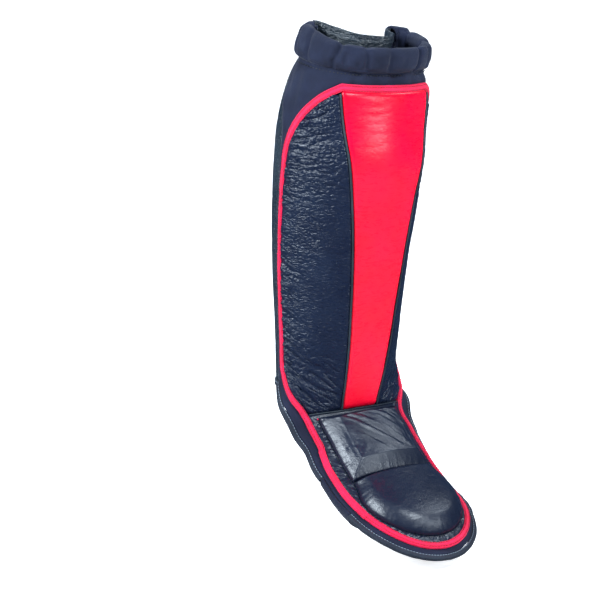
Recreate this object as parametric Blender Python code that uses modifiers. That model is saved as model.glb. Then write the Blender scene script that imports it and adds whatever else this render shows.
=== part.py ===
# Slip-on shin pad: a padded leather shin and instep shield on a neoprene sleeve.
# The leg's axis is +Z, the shin faces -Y, and the origin is on that axis at the height of the ankle seam.
# Every piece is cut from one pattern: "along" runs up the front ridge from the ankle seam and is negative down
# the foot, and "across" is the girth measured round the leg from that ridge. Sizes are metres.
import math

import bmesh
import bpy
import numpy as np
from mathutils import Vector

# Overall form
SHIN_LENGTH = 0.326
FOOT_LENGTH = 0.178
ANKLE_REACH = 0.048
CALF_HALF_WIDTH = 0.079
CALF_FRONT_DEPTH = 0.055
CALF_BACK_DEPTH = 0.038
BACK_SQUARENESS = 2.6
COLLAPSE_DEPTH = 0.046
COLLAPSE_HALF_WIDTH = 0.037
FLARE_FROM = 0.70

# Walls and clearances
NEOPRENE_WALL = 0.0035
BACK_LEATHER = 0.0022
SHELL_GAP = 0.0006
SEAM_GAP = 0.0005
BACK_SEAM_GAP = 0.0022
TAPE_GAP = 0.0012

# Shin shield
SHIN_PAD_HEIGHT = 0.0185
SHIELD_EDGE_HEIGHT = 0.0036
CENTRE_HOLLOW = 0.05
SIDE_FALL = 2.4
PIPING_WIDTH = 0.0024
PIPING_PROUD = 0.0008

# Foot shield
INSTEP_LEATHER = 0.002
INSTEP_BLOCK_LENGTH = 0.076
INSTEP_BLOCK_HALF_WIDTH = 0.0475
INSTEP_BLOCK_HEIGHT = 0.0105
TOE_PAD_LENGTH = 0.074
TOE_PAD_HEIGHT = 0.0105
PAD_RIM_HEIGHT = 0.0022
BLOCK_BEVEL = 0.016
TOE_PAD_BEVEL = 0.019
PAD_TO_PAD = 0.0022
TOE_ROUND_LENGTH = 0.061

# Bindings
RED_BINDING_WIDTH = 0.007
RED_BINDING_HEIGHT = 0.0042
FLANGE_WIDTH = 0.0052
EDGE_BINDING_WIDTH = 0.0055
EDGE_BINDING_HEIGHT = 0.0052

# Cuff, back panel, heel opening and strap
CUFF_RISE = 0.011
CUFF_HEIGHT = 0.0225
CUFF_THICKNESS = 0.0115
BACK_PANEL_RISE = 0.027
BACK_PANEL_TILT = 0.0035
HEEL_SEAM_ALONG = 0.026
HEEL_BACK_ALONG = 0.047
STRAP_REAR = 0.060
STRAP_WIDTH = 0.048
STRAP_DROP = 0.030
STRAP_WALL = 0.0025
ANKLE_FOLD = 0.001
BLOCK_SETBACK = 0.002

# Places worked out from the sizes above, as distances along the pattern
CUFF_START = SHIN_LENGTH + CUFF_RISE
BACK_PANEL_TOP = CUFF_START + BACK_PANEL_RISE
INSTEP_TOP = -ANKLE_FOLD
BLOCK_TOP = INSTEP_TOP - BLOCK_SETBACK
BLOCK_END = BLOCK_TOP - INSTEP_BLOCK_LENGTH
TOE_PAD_START = BLOCK_END - PAD_TO_PAD
TOE_PAD_END = TOE_PAD_START - TOE_PAD_LENGTH

GRID_PITCH = 0.0125
BACK_STEPS = 7
SNAP = 0.0016

# The form, row by row. along is a share of the shin's length above the ankle and of the foot's below it.
# lean is the ridge's forward tilt in degrees, squareness the power of the outline's curve and flare how flat
# the cloth stands out beyond the shield; the other columns are shares of the sizes above.
FORM_COLUMNS = ("along", "lean", "half_width", "front_depth", "squareness", "back_depth", "collapse", "flare")
FORM = (
    (-1.15, -58, 1.05, 0.46, 2.0, 0.60, 0.0, 0.7),
    (-0.90, -55, 1.06, 0.54, 2.0, 0.60, 0.0, 0.8),
    (-0.65, -67, 1.08, 0.68, 2.0, 0.60, 0.0, 0.5),
    (-0.42, -60, 1.10, 0.80, 2.0, 0.60, 0.0, 0.1),
    (-0.20, -51, 1.11, 0.80, 2.0, 0.60, 0.0, 0.1),
    (-0.07, -52, 1.10, 0.74, 2.0, 0.62, 0.0, 0.5),
    (0.00, -20, 1.04, 0.70, 2.0, 0.68, 0.0, 0.7),
    (0.04, -5, 0.94, 0.70, 2.0, 0.62, 0.0, 0.25),
    (0.10, 0, 0.88, 0.74, 2.0, 0.66, 0.0, 0.0),
    (0.22, 2, 0.89, 0.82, 1.9, 0.76, 0.0, 0.0),
    (0.40, 3, 0.925, 0.94, 1.9, 0.93, 0.0, 0.0),
    (0.60, 3, 0.97, 1.01, 1.9, 1.06, 0.0, 0.0),
    (0.76, 2, 0.99, 1.03, 2.0, 1.08, 0.0, 0.0),
    (0.86, 3, 0.99, 1.03, 2.1, 1.04, 0.08, 0.0),
    (0.94, 4, 0.95, 1.01, 2.4, 0.98, 0.35, 0.0),
    (1.00, 6, 0.90, 0.98, 2.5, 0.90, 0.70, 0.0),
    (1.05, 9, 0.84, 0.95, 2.4, 0.84, 1.00, 0.0),
    (1.18, 12, 0.81, 0.94, 2.3, 0.80, 1.00, 0.0),
)

# The cut of the panels: half widths as shares of the quarter girth, from the ridge to the leg's widest line.
CUT_COLUMNS = ("along", "red_panel", "pad_edge", "cloth_edge")
CUT = (
    (-1.15, 0.230, 0.658, 0.800),
    (-0.60, 0.230, 0.658, 0.800),
    (-0.34, 0.230, 0.600, 0.760),
    (-0.15, 0.230, 0.605, 0.710),
    (0.00, 0.235, 0.746, 0.875),
    (0.04, 0.232, 0.855, 0.955),
    (0.10, 0.228, 0.920, 1.000),
    (0.22, 0.230, 0.945, 1.000),
    (0.40, 0.243, 0.955, 1.000),
    (0.60, 0.283, 0.955, 1.000),
    (0.72, 0.327, 0.950, 1.000),
    (0.80, 0.365, 0.935, 1.000),
    (0.87, 0.410, 0.865, 1.010),
    (0.93, 0.450, 0.755, 1.060),
    (0.97, 0.478, 0.640, 1.140),
    (1.00, 0.500, 0.505, 1.215),
    (1.03, 0.500, 0.380, 1.285),
    (1.18, 0.500, 0.380, 1.300),
)

# How full the shin padding is, as a share of its height.
FILL_COLUMNS = ("along", "fill")
FILL = (
    (0.00, 0.25),
    (0.015, 0.33),
    (0.05, 0.50),
    (0.09, 0.66),
    (0.14, 0.79),
    (0.20, 0.90),
    (0.34, 0.98),
    (0.66, 1.00),
    (0.79, 0.98),
    (0.86, 0.72),
    (0.92, 0.49),
    (0.965, 0.35),
    (0.99, 0.26),
    (1.05, 0.20),
)

# The folds of the cuff: place as a share of its half girth, depth and half width as shares of its thickness.
CREASE_COLUMNS = ("place", "depth", "half_width")
CREASES = (
    (-0.86, 0.16, 0.50),
    (-0.66, 0.14, 0.45),
    (-0.42, 0.30, 0.55),
    (-0.22, 0.12, 0.45),
    (0.02, 0.08, 0.60),
    (0.20, 0.38, 0.42),
    (0.38, 0.12, 0.50),
    (0.55, 0.24, 0.50),
    (0.80, 0.16, 0.55),
)

GATHER_COUNT = 5
GATHER_DEPTH = 0.6


def column(table, columns, name):
    return np.array([row[columns.index(name)] for row in table], float)


def read_smooth(places, values, at):
    """The table's value at a place, on a smooth curve through its rows."""
    slopes = np.gradient(values, places)
    at = float(np.clip(at, places[0], places[-1]))
    row = int(np.clip(np.searchsorted(places, at) - 1, 0, len(places) - 2))
    step = places[row + 1] - places[row]
    t = (at - places[row]) / step
    return float(
        (2 * t**3 - 3 * t**2 + 1) * values[row]
        + (t**3 - 2 * t**2 + t) * step * slopes[row]
        + (3 * t**2 - 2 * t**3) * values[row + 1]
        + (t**3 - t**2) * step * slopes[row + 1]
    )


def share_along(along):
    return along / (SHIN_LENGTH if along >= 0 else FOOT_LENGTH)


def form_value(name, along):
    places = column(FORM, FORM_COLUMNS, "along")
    return read_smooth(places, column(FORM, FORM_COLUMNS, name), share_along(along))


def cut_value(name, along):
    return read_smooth(column(CUT, CUT_COLUMNS, "along"), column(CUT, CUT_COLUMNS, name), share_along(along))


def trace_ridge():
    """The front ridge in the side view, stepped up and down from the ankle seam: along, y and z."""
    step = 0.001
    up = [(0.0, -ANKLE_REACH, 0.0)]
    while up[-1][0] < SHIN_LENGTH * FORM[-1][0]:
        along, y, z = up[-1]
        lean = math.radians(form_value("lean", along + step / 2))
        up.append((along + step, y - step * math.sin(lean), z + step * math.cos(lean)))
    down = [(0.0, -ANKLE_REACH, 0.0)]
    while down[-1][0] > FOOT_LENGTH * FORM[0][0]:
        along, y, z = down[-1]
        lean = math.radians(form_value("lean", along - step / 2))
        down.append((along - step, y + step * math.sin(lean), z - step * math.cos(lean)))
    return np.array(down[:0:-1] + up)


RIDGE = trace_ridge()
SECTIONS = {}


def section(along):
    """Half of the leg's outline at one place: girth from the ridge, distance sideways and behind the ridge."""
    key = round(along, 6)
    if key in SECTIONS:
        return SECTIONS[key]
    half_width = CALF_HALF_WIDTH * form_value("half_width", along)
    front = CALF_FRONT_DEPTH * form_value("front_depth", along)
    back = CALF_BACK_DEPTH * form_value("back_depth", along)
    collapse = COLLAPSE_DEPTH * max(0.0, form_value("collapse", along))
    turn = np.linspace(0, math.pi, 181)
    power = np.where(turn <= math.pi / 2, form_value("squareness", along), BACK_SQUARENESS)
    depth = np.where(turn <= math.pi / 2, front, back)
    spans = np.abs(np.sin(turn) / half_width) ** power + np.abs(np.cos(turn) / depth) ** power
    reach = spans ** (-1 / power)
    sideways = reach * np.sin(turn)
    behind = front - reach * np.cos(turn)
    dent = np.exp(-((sideways / COLLAPSE_HALF_WIDTH) ** 4))
    behind = behind - np.where(turn > math.pi / 2, collapse * dent, 0.0)
    flare_start = int(np.argmax(sideways > FLARE_FROM * half_width))
    fall = np.where(np.arange(181) > flare_start, behind - behind[flare_start], 0.0)
    fall = np.where(turn > math.pi / 2, behind[90] - behind[flare_start], fall)
    behind = behind - fall * form_value("flare", along)
    girth = np.concatenate([[0], np.cumsum(np.hypot(np.diff(sideways), np.diff(behind)))])
    SECTIONS[key] = (girth, sideways, behind, girth[90])
    return SECTIONS[key]


def quarter_girth(along):
    return section(along)[3]


def half_girth(along):
    return section(along)[0][-1]


def on_form(along, across):
    """The point of the sleeve's outer face at a place of the pattern."""
    girth, sideways, behind, _ = section(along)
    if abs(across) > girth[-1]:
        across = math.copysign(2 * girth[-1] - abs(across), -across)
    x = math.copysign(float(np.interp(abs(across), girth, sideways)), across)
    back = float(np.interp(abs(across), girth, behind))
    y = float(np.interp(along, RIDGE[:, 0], RIDGE[:, 1]))
    z = float(np.interp(along, RIDGE[:, 0], RIDGE[:, 2]))
    lean = math.radians(form_value("lean", along))
    return Vector((x, y + back * math.cos(lean), z + back * math.sin(lean)))


def outward(along, across):
    step = 0.001
    sideways = on_form(along, across + step) - on_form(along, across - step)
    upward = on_form(along + step, across) - on_form(along - step, across)
    return sideways.cross(upward).normalized()


def on_shell(along, across, height):
    return on_form(along, across) + outward(along, across) * height


def toe_share(along, inset):
    """1 along the foot, falling on an ellipse to 0 at the tip of an outline set in by inset."""
    start = FOOT_LENGTH - TOE_ROUND_LENGTH
    reach = min(1.0, max(0.0, (-along - start) / (TOE_ROUND_LENGTH - inset)))
    return math.sqrt(1 - reach**2)


def pad_edge(along, inset=0.0):
    """Half width of the shield's outline, set in by inset."""
    width = cut_value("pad_edge", along) * quarter_girth(along)
    if along < -(FOOT_LENGTH - TOE_ROUND_LENGTH):
        return (width - inset) * toe_share(along, inset)
    step = 0.002
    ahead = cut_value("pad_edge", along + step) * quarter_girth(along + step)
    before = cut_value("pad_edge", along - step) * quarter_girth(along - step)
    slope = (ahead - before) / (2 * step)
    return width - inset * math.hypot(1, slope)


def cloth_edge(along):
    """Half width of the neoprene up to its binding: side seam on the leg, flange edge on the foot."""
    if along < -(FOOT_LENGTH - TOE_ROUND_LENGTH):
        return pad_edge(along, -FLANGE_WIDTH)
    if along < 0:
        blend = min(1.0, -along / STRAP_REAR)
        seam = cut_value("cloth_edge", along) * quarter_girth(along)
        return seam * (1 - blend) + blend * (pad_edge(along) + FLANGE_WIDTH)
    return cut_value("cloth_edge", along) * quarter_girth(along)


def red_edge(along):
    return cut_value("red_panel", along) * quarter_girth(along)


def shield_inset(extra=0.0):
    return RED_BINDING_WIDTH + SEAM_GAP + extra


def shin_fill(along):
    places = column(FILL, FILL_COLUMNS, "along")
    return read_smooth(places, column(FILL, FILL_COLUMNS, "fill"), along / SHIN_LENGTH)


def seam_height(along):
    """Height of the shin padding at the edge of the red panel."""
    return max(SHIELD_EDGE_HEIGHT, SHIN_PAD_HEIGHT * shin_fill(along))


def centre_height(along, across):
    hollow = 1 - min(1.0, abs(across) / red_edge(along)) ** 2
    return seam_height(along) * (1 - CENTRE_HOLLOW * hollow)


def side_height(along, across):
    inner = red_edge(along)
    outer = pad_edge(along, shield_inset())
    t = min(1.0, max(0.0, (abs(across) - inner) / max(outer - inner, 1e-6)))
    return SHIELD_EDGE_HEIGHT + (seam_height(along) - SHIELD_EDGE_HEIGHT) * (1 - t) ** SIDE_FALL


def facet_share(distance, bevel):
    """0 at a pad's rim and 1 on its flat top, on a straight bevel."""
    return min(1.0, max(0.0, distance / bevel))




def toe_pad_edge(along, inset=0.0):
    """Half width of the D-shaped toe pad, set in by inset."""
    straight = TOE_PAD_LENGTH * 0.32
    length = TOE_PAD_LENGTH - straight - inset
    reach = min(1.0, max(0.0, (TOE_PAD_START - straight - along) / length))
    return (INSTEP_BLOCK_HALF_WIDTH - inset) * math.sqrt(1 - reach**2)


def block_height(along, across):
    to_edge = min(INSTEP_BLOCK_HALF_WIDTH - abs(across), BLOCK_TOP - along, along - BLOCK_END)
    share = facet_share(to_edge, BLOCK_BEVEL)
    return PAD_RIM_HEIGHT + (INSTEP_BLOCK_HEIGHT - PAD_RIM_HEIGHT) * share


def toe_pad_height(along, across):
    """The inset of the D outline that passes through the place tells how far up the bevel it is."""
    low, high = 0.0, TOE_PAD_BEVEL
    for _ in range(24):
        middle = (low + high) / 2
        if toe_pad_edge(along, middle) > abs(across) and along < TOE_PAD_START - middle * 0.25:
            low = middle
        else:
            high = middle
    share = math.sin(math.pi / 2 * facet_share(low, TOE_PAD_BEVEL))
    return PAD_RIM_HEIGHT + (TOE_PAD_HEIGHT - PAD_RIM_HEIGHT) * share


def pattern_rows():
    """Places along the ridge where every stacked piece has a row, so that their faces stay parallel."""
    tip = -(FOOT_LENGTH + FLANGE_WIDTH)
    toe_shares = (0.996, 0.975, 0.945, 0.91, 0.865, 0.815, 0.765, 0.71, 0.655, 0.60, 0.545, 0.49)
    toe = [tip * share for share in toe_shares]
    block = [TOE_PAD_START, BLOCK_END]
    block += [BLOCK_END + BLOCK_BEVEL, (BLOCK_END + BLOCK_TOP) / 2, BLOCK_TOP - BLOCK_BEVEL]
    block += [BLOCK_TOP - BLOCK_BEVEL / 2, BLOCK_TOP]
    shares = (0.0, 0.006, 0.02, 0.04, 0.10, 0.15, 0.22, 0.30, 0.39, 0.48, 0.57, 0.65)
    shares += (0.72, 0.775, 0.825, 0.87, 0.91, 0.94, 0.965, 0.978)
    shin = [HEEL_SEAM_ALONG] + [SHIN_LENGTH * share for share in shares]
    top = [SHIN_LENGTH - RED_BINDING_WIDTH / 2, SHIN_LENGTH]
    top += [(SHIN_LENGTH + CUFF_START) / 2, CUFF_START - SEAM_GAP]
    rows = sorted(toe + block + shin + top)
    kept = [rows[0]]
    for row in rows[1:]:
        if row - kept[-1] > SNAP:
            kept.append(row)
    kept[-1] = CUFF_START - SEAM_GAP
    return kept


ROWS = pattern_rows()
BLOCK_LINES = (0.0, 0.22, 0.44, 1 - BLOCK_BEVEL / INSTEP_BLOCK_HALF_WIDTH, 0.83, 1.0)
HALF_LINES = [INSTEP_BLOCK_HALF_WIDTH * share for share in BLOCK_LINES]
while HALF_LINES[-1] < 2.2 * CALF_HALF_WIDTH:
    HALF_LINES.append(HALF_LINES[-1] + GRID_PITCH)
LINES = sorted({round(side * line, 6) for line in HALF_LINES for side in (-1, 1)})


def clear_scene():
    for existing in list(bpy.data.objects):
        bpy.data.objects.remove(existing, do_unlink=True)


def make_material(name, colour, roughness, metallic=0.0):
    material = bpy.data.materials.new(name)
    material.use_nodes = True
    shader = material.node_tree.nodes["Principled BSDF"]
    shader.inputs["Base Color"].default_value = (*colour, 1)
    shader.inputs["Roughness"].default_value = roughness
    shader.inputs["Metallic"].default_value = metallic
    material.diffuse_color = (*colour, 1)
    return material


def add_object(name, mesh_data, material, collection):
    made = bpy.data.objects.new(name, mesh_data)
    made.data.materials.append(material)
    collection.objects.link(made)
    for polygon in made.data.polygons:
        polygon.use_smooth = True
    made.data.set_sharp_from_angle(angle=math.radians(35))
    return made


def columns_at(along, left, right, lines):
    """The pattern's lines between a piece's two edges; a line that nearly meets an edge is left out."""
    places = [left]
    for line in lines:
        if line < left + SNAP:
            places.append(left)
        elif line > right - SNAP:
            places.append(right)
        else:
            places.append(line)
    return places + [right]


def sheet_mesh(name, grid, place):
    """An open surface through rows of pattern places. Places that coincide in a row become one corner."""
    mesh_builder = bmesh.new()
    corners = {}
    tags = {}

    def corner(row, place_in_row):
        key = (row, round(place_in_row[0], 7), round(place_in_row[1], 7))
        if key not in corners:
            corners[key] = mesh_builder.verts.new(place(*place_in_row))
            tags[corners[key]] = place_in_row
        return corners[key]

    for row in range(len(grid) - 1):
        for step in range(len(grid[row]) - 1):
            ring = []
            for at_row, at_step in ((row, step), (row, step + 1), (row + 1, step + 1), (row + 1, step)):
                found = corner(at_row, grid[at_row][at_step])
                if found not in ring:
                    ring.append(found)
            if len(ring) >= 3:
                mesh_builder.faces.new(ring)
    mesh_builder.verts.index_update()
    places = {vert.index: tag for vert, tag in tags.items()}
    mesh_data = bpy.data.meshes.new(name)
    mesh_builder.to_mesh(mesh_data)
    mesh_builder.free()
    return mesh_data, places


def thicken(made, thickness, outwards, places=None, height=None):
    """Solidify outwards or inwards, to the height at each place where the padding varies."""
    wall = made.modifiers.new("Wall", "SOLIDIFY")
    wall.thickness = thickness
    wall.offset = 1 if outwards else -1
    wall.use_even_offset = height is None
    if height is not None:
        fullness = made.vertex_groups.new(name="Fullness")
        for index, (along, across) in places.items():
            fullness.add([index], min(1.0, height(along, across) / thickness), "REPLACE")
        wall.vertex_group = fullness.name
    return made


def stacked_piece(name, rows, left, right, base, height, tallest, material, collection, lines=None):
    """A padded or flat piece on the shell: its foot at base, its top at base + height(along, across)."""
    lines = LINES if lines is None else lines
    grid = []
    for along in rows:
        columns = columns_at(along, left(along), right(along), lines)
        grid.append([(along, across) for across in columns])
    mesh_data, places = sheet_mesh(name, grid, lambda along, across: on_shell(along, across, base))
    made = add_object(name, mesh_data, material, collection)
    return thicken(made, tallest, True, places, height)


def rows_between(low, high, extra=()):
    inner = [row for row in ROWS if low + SNAP < row < high - SNAP]
    return sorted([low, *inner, *extra, high])


def loft(name, rings, material, collection, closed):
    """Faces between rings of points, joined end to end or capped."""
    mesh_builder = bmesh.new()
    loops = [[mesh_builder.verts.new(point) for point in ring] for ring in rings]
    pairs = list(zip(loops, loops[1:]))
    if closed:
        pairs.append((loops[-1], loops[0]))
    for first, second in pairs:
        for step in range(len(first)):
            after = (step + 1) % len(first)
            mesh_builder.faces.new((first[step], first[after], second[after], second[step]))
    if not closed:
        mesh_builder.faces.new(loops[0][::-1])
        mesh_builder.faces.new(loops[-1])
    bmesh.ops.recalc_face_normals(mesh_builder, faces=mesh_builder.faces)
    mesh_data = bpy.data.meshes.new(name)
    mesh_builder.to_mesh(mesh_data)
    mesh_builder.free()
    return add_object(name, mesh_data, material, collection)


def tape_rings(path, profile, shift, closed):
    """Rings of a tape's profile along pattern places; a profile point is (outwards in the surface, up)."""
    points = [on_shell(along, across, 0.0) for along, across in path]
    normals = [outward(along, across) for along, across in path]
    rings = []
    for index, point in enumerate(points):
        if closed:
            tangent = points[(index + 1) % len(points)] - points[index - 1]
        else:
            tangent = points[min(index + 1, len(points) - 1)] - points[max(index - 1, 0)]
        side = tangent.cross(normals[index]).normalized()
        up = side.cross(tangent).normalized()
        if up.dot(normals[index]) < 0:
            up = -up
        rings.append([point + side * (shift + sideways) + up * rise for sideways, rise in profile])
    return rings


def half_outline(edge, low, high, rows, tip_turns):
    """The right side of an outline from low to high; the round toe is stepped by equal turns of its ellipse."""
    start = -(FOOT_LENGTH - TOE_ROUND_LENGTH)
    path = [(low, 0.0)]
    for turn in range(1, tip_turns):
        angle = math.pi / 2 * turn / tip_turns
        along = start - (start - low) * math.cos(angle)
        path.append((along, edge(along)))
    path += [(row, edge(row)) for row in rows if start - SNAP < row < high]
    path.append((high, edge(high)))
    return path


def build_neoprene(material, collection):
    """Front of the sleeve, instep backing and toe flange in one piece."""
    grid = []
    for along in ROWS:
        edge = cloth_edge(along) - SEAM_GAP / 2
        grid.append([(along, across) for across in columns_at(along, -edge, edge, LINES)])
    mesh_data, _ = sheet_mesh("neoprene_shell", grid, on_form)
    made = add_object("neoprene_shell", mesh_data, material, collection)
    return thicken(made, NEOPRENE_WALL, False)


def back_hem(share):
    """The heel opening's edge on the back panel: lowest at the side seams, highest at the back."""
    rise = math.cos(math.pi / 2 * share) ** 2
    return HEEL_SEAM_ALONG + (HEEL_BACK_ALONG - HEEL_SEAM_ALONG) * rise


def build_back_panel(material, collection):
    """Its side seams have the shell's own rows, so that the two edges stay parallel."""
    steps = [step / BACK_STEPS for step in range(-BACK_STEPS, BACK_STEPS + 1)]
    seam_rows = [HEEL_SEAM_ALONG, *(row for row in ROWS if HEEL_SEAM_ALONG + SNAP < row)]
    seam_rows += [CUFF_START + (BACK_PANEL_TOP - CUFF_START) * share for share in (0.35, 0.7, 1.0)]
    start = (CUFF_START - HEEL_SEAM_ALONG) / (BACK_PANEL_TOP - HEEL_SEAM_ALONG)
    grid = []
    for seam_row in seam_rows:
        level = (seam_row - HEEL_SEAM_ALONG) / (BACK_PANEL_TOP - HEEL_SEAM_ALONG)
        row = []
        for share in steps:
            along = seam_row + (back_hem(abs(share)) - HEEL_SEAM_ALONG) * (1 - level)
            along -= BACK_PANEL_TILT * share * max(0.0, level - start) / (1 - start)
            half = half_girth(along) - cloth_edge(along) - BACK_SEAM_GAP + SEAM_GAP / 2
            row.append((along, share * half))
        grid.append(row)

    def place(along, from_back):
        across = math.copysign(half_girth(along) - abs(from_back), from_back)
        half = half_girth(along) - cloth_edge(along)
        gathered = max(0.0, (along - SHIN_LENGTH * 0.9) / (BACK_PANEL_TOP - SHIN_LENGTH * 0.9))
        ripple = math.cos(GATHER_COUNT * math.pi * from_back / half) * (1 - (from_back / half) ** 2)
        return on_shell(along, across, -NEOPRENE_WALL * 0.3 + GATHER_DEPTH * BACK_LEATHER * ripple * gathered)

    mesh_data, _ = sheet_mesh("back_panel", grid, place)
    made = add_object("back_panel", mesh_data, material, collection)
    made.data.flip_normals()
    return thicken(made, BACK_LEATHER, False)


def build_cuff(material, collection):
    """Rolled hem round the front and both sides, creased where its elastic gathers it."""
    middle = CUFF_START + CUFF_HEIGHT / 2
    end = cloth_edge(CUFF_START) - 4 * SEAM_GAP
    stations = 52
    rings = []
    for station in range(stations + 1):
        place = 2 * station / stations - 1
        across = place * end
        pinch = 0.0
        for row in CREASES:
            crease = dict(zip(CREASE_COLUMNS, row))
            distance = (place - crease["place"]) * end / (crease["half_width"] * CUFF_THICKNESS)
            pinch += crease["depth"] * math.exp(-(distance**2))
        ring = []
        for step in range(10):
            turn = 2 * math.pi * (step + 0.5) / 10
            rise = math.copysign(abs(math.sin(turn)) ** 0.6, math.sin(turn)) * CUFF_HEIGHT / 2
            out = math.copysign(abs(math.cos(turn)) ** 0.75, math.cos(turn)) * CUFF_THICKNESS / 2
            out *= 1 - pinch
            if rise > 0:
                rise *= 1 - 0.35 * pinch
            height = out - CUFF_THICKNESS * (0.28 + 0.2 * pinch)
            ring.append(on_shell(middle + rise, across, height))
        rings.append(ring)
    return loft("cuff_roll", rings, material, collection, False)


def on_side(edge, sign):
    """An edge of the pattern's right half, or its mirror image on the left."""
    return lambda along: sign * edge(along)


def build_shin_panels(red, black, dark, collection):
    """The red centre, the two padded sides and the pipings between them."""
    low = SHIN_LENGTH * 0.006
    high = SHIN_LENGTH - shield_inset()

    def limit(along):
        return pad_edge(along, shield_inset())

    def centre_right(along):
        return min(red_edge(along), limit(along))

    def piping_in(along):
        return red_edge(along) + SEAM_GAP

    def piping_out(along):
        return piping_in(along) + PIPING_WIDTH

    def side_in(along):
        return piping_out(along) + SEAM_GAP

    stacked_piece(
        "centre_panel", rows_between(low, high), on_side(centre_right, -1), centre_right,
        SHELL_GAP, centre_height, SHIN_PAD_HEIGHT, red, collection,
    )
    side_tip = high
    while limit(side_tip) - side_in(side_tip) < 2 * SNAP:
        side_tip -= 0.0005

    def piping_height(along, across):
        return seam_height(along) + PIPING_PROUD

    for name, sign in (("left", -1), ("right", 1)):
        edges = [on_side(piping_in, sign), on_side(piping_out, sign)][::sign]
        stacked_piece(
            "piping_" + name, rows_between(low, side_tip), edges[0], edges[1],
            SHELL_GAP, piping_height, SHIN_PAD_HEIGHT + PIPING_PROUD, dark, collection, lines=[],
        )
        edges = [on_side(side_in, sign), on_side(limit, sign)][::sign]
        stacked_piece(
            "side_panel_" + name, rows_between(low, side_tip), edges[0], edges[1],
            SHELL_GAP, side_height, SHIN_PAD_HEIGHT, black, collection,
        )


def build_foot_pads(black, collection):
    tip = -(FOOT_LENGTH - shield_inset(TAPE_GAP))

    def limit(along):
        return max(pad_edge(along, shield_inset()), SNAP * 3)

    def pad_limit(along):
        return max(toe_pad_edge(along), SNAP * 3)

    stacked_piece(
        "instep_panel", rows_between(tip, INSTEP_TOP), on_side(limit, -1), limit,
        SHELL_GAP, lambda along, across: INSTEP_LEATHER, INSTEP_LEATHER, black, collection,
    )
    base = SHELL_GAP + INSTEP_LEATHER + SEAM_GAP
    stacked_piece(
        "instep_block", rows_between(BLOCK_END, BLOCK_TOP), lambda along: -INSTEP_BLOCK_HALF_WIDTH,
        lambda along: INSTEP_BLOCK_HALF_WIDTH, base, block_height, INSTEP_BLOCK_HEIGHT, black, collection,
    )
    tips = [TOE_PAD_END + TOE_PAD_LENGTH * share for share in (0.02, 0.07)]
    stacked_piece(
        "toe_pad", rows_between(TOE_PAD_END, TOE_PAD_START, tips), on_side(pad_limit, -1), pad_limit,
        base, toe_pad_height, TOE_PAD_HEIGHT, black, collection,
    )


def build_red_binding(material, collection):
    """One closed tape round the shin shield and the instep."""
    half = RED_BINDING_WIDTH / 2

    def edge(along):
        return pad_edge(along, half)

    top = SHIN_LENGTH - half
    right = half_outline(edge, -(FOOT_LENGTH - half), top, ROWS, 9)
    corner = edge(top)
    across_top = [(top, corner * share) for share in (0.72, 0.36, 0.0, -0.36, -0.72)]
    left = [(along, -across) for along, across in right[:0:-1]]
    rise = RED_BINDING_HEIGHT - TAPE_GAP
    profile = [(-0.5, 0), (-0.5, 0.6), (-0.28, 1), (0.28, 1), (0.5, 0.6), (0.5, 0)]
    profile = [(sideways * RED_BINDING_WIDTH, TAPE_GAP + up * rise) for sideways, up in profile]
    rings = tape_rings(right + across_top + left, profile, 0.0, True)
    return loft("red_binding", rings, material, collection, True)


def bead_profile():
    middle = -NEOPRENE_WALL / 2
    ring = []
    for step in range(8):
        turn = 2 * math.pi * (step + 0.5) / 8
        sideways = math.copysign(abs(math.cos(turn)) ** 0.7, math.cos(turn)) * EDGE_BINDING_WIDTH / 2
        rise = math.copysign(abs(math.sin(turn)) ** 0.7, math.sin(turn)) * EDGE_BINDING_HEIGHT / 2
        ring.append((sideways, middle + rise))
    return ring


def build_edge_bindings(material, collection):
    """The dark tape round the heel opening, and the one round the toe."""
    shift = EDGE_BINDING_WIDTH / 2 + TAPE_GAP
    flange = [row for row in ROWS if -STRAP_REAR < row < HEEL_SEAM_ALONG]
    right = [(row, cloth_edge(row)) for row in [-STRAP_REAR, *flange]]
    hem = []
    for step in range(-BACK_STEPS, BACK_STEPS + 1):
        share = -step / BACK_STEPS
        along = back_hem(abs(share))
        half = half_girth(along) - cloth_edge(along)
        across = half_girth(along) - abs(share) * half
        hem.append((along, across if share >= 0 else 2 * half_girth(along) - across))
    left = [(along, 2 * half_girth(along) - across) for along, across in right[::-1]]
    rings = tape_rings(right + hem + left, bead_profile(), shift, False)
    loft("heel_binding", rings, material, collection, False)
    front = -(STRAP_REAR + STRAP_WIDTH)
    side = half_outline(cloth_edge, -(FOOT_LENGTH + FLANGE_WIDTH), front, ROWS, 10)
    path = [(along, -across) for along, across in side[:0:-1]] + side
    rings = tape_rings(path, bead_profile(), shift, False)
    loft("toe_binding", rings, material, collection, False)


def build_strap(material, collection):
    """Stirrup strap that passes under the foot, from flange to flange."""
    rows = 5
    steps = 20
    grid = []
    for row in range(rows + 1):
        along = -(STRAP_REAR + SEAM_GAP) - (STRAP_WIDTH - 2 * SEAM_GAP) * row / rows
        grid.append([(along, math.pi * step / steps) for step in range(steps + 1)])

    def place(along, turn):
        edge = cloth_edge(along) + SEAM_GAP
        corner = on_form(along, edge)
        ridge = on_form(along, 0.0)
        down = -outward(along, 0.0)
        start = (corner - ridge).dot(down)
        sideways = Vector((corner.x * math.cos(turn), 0, 0))
        return ridge + down * (start + STRAP_DROP * math.sin(turn)) + sideways

    mesh_data, _ = sheet_mesh("foot_strap", grid, place)
    made = add_object("foot_strap", mesh_data, material, collection)
    return thicken(made, STRAP_WALL, False)


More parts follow.
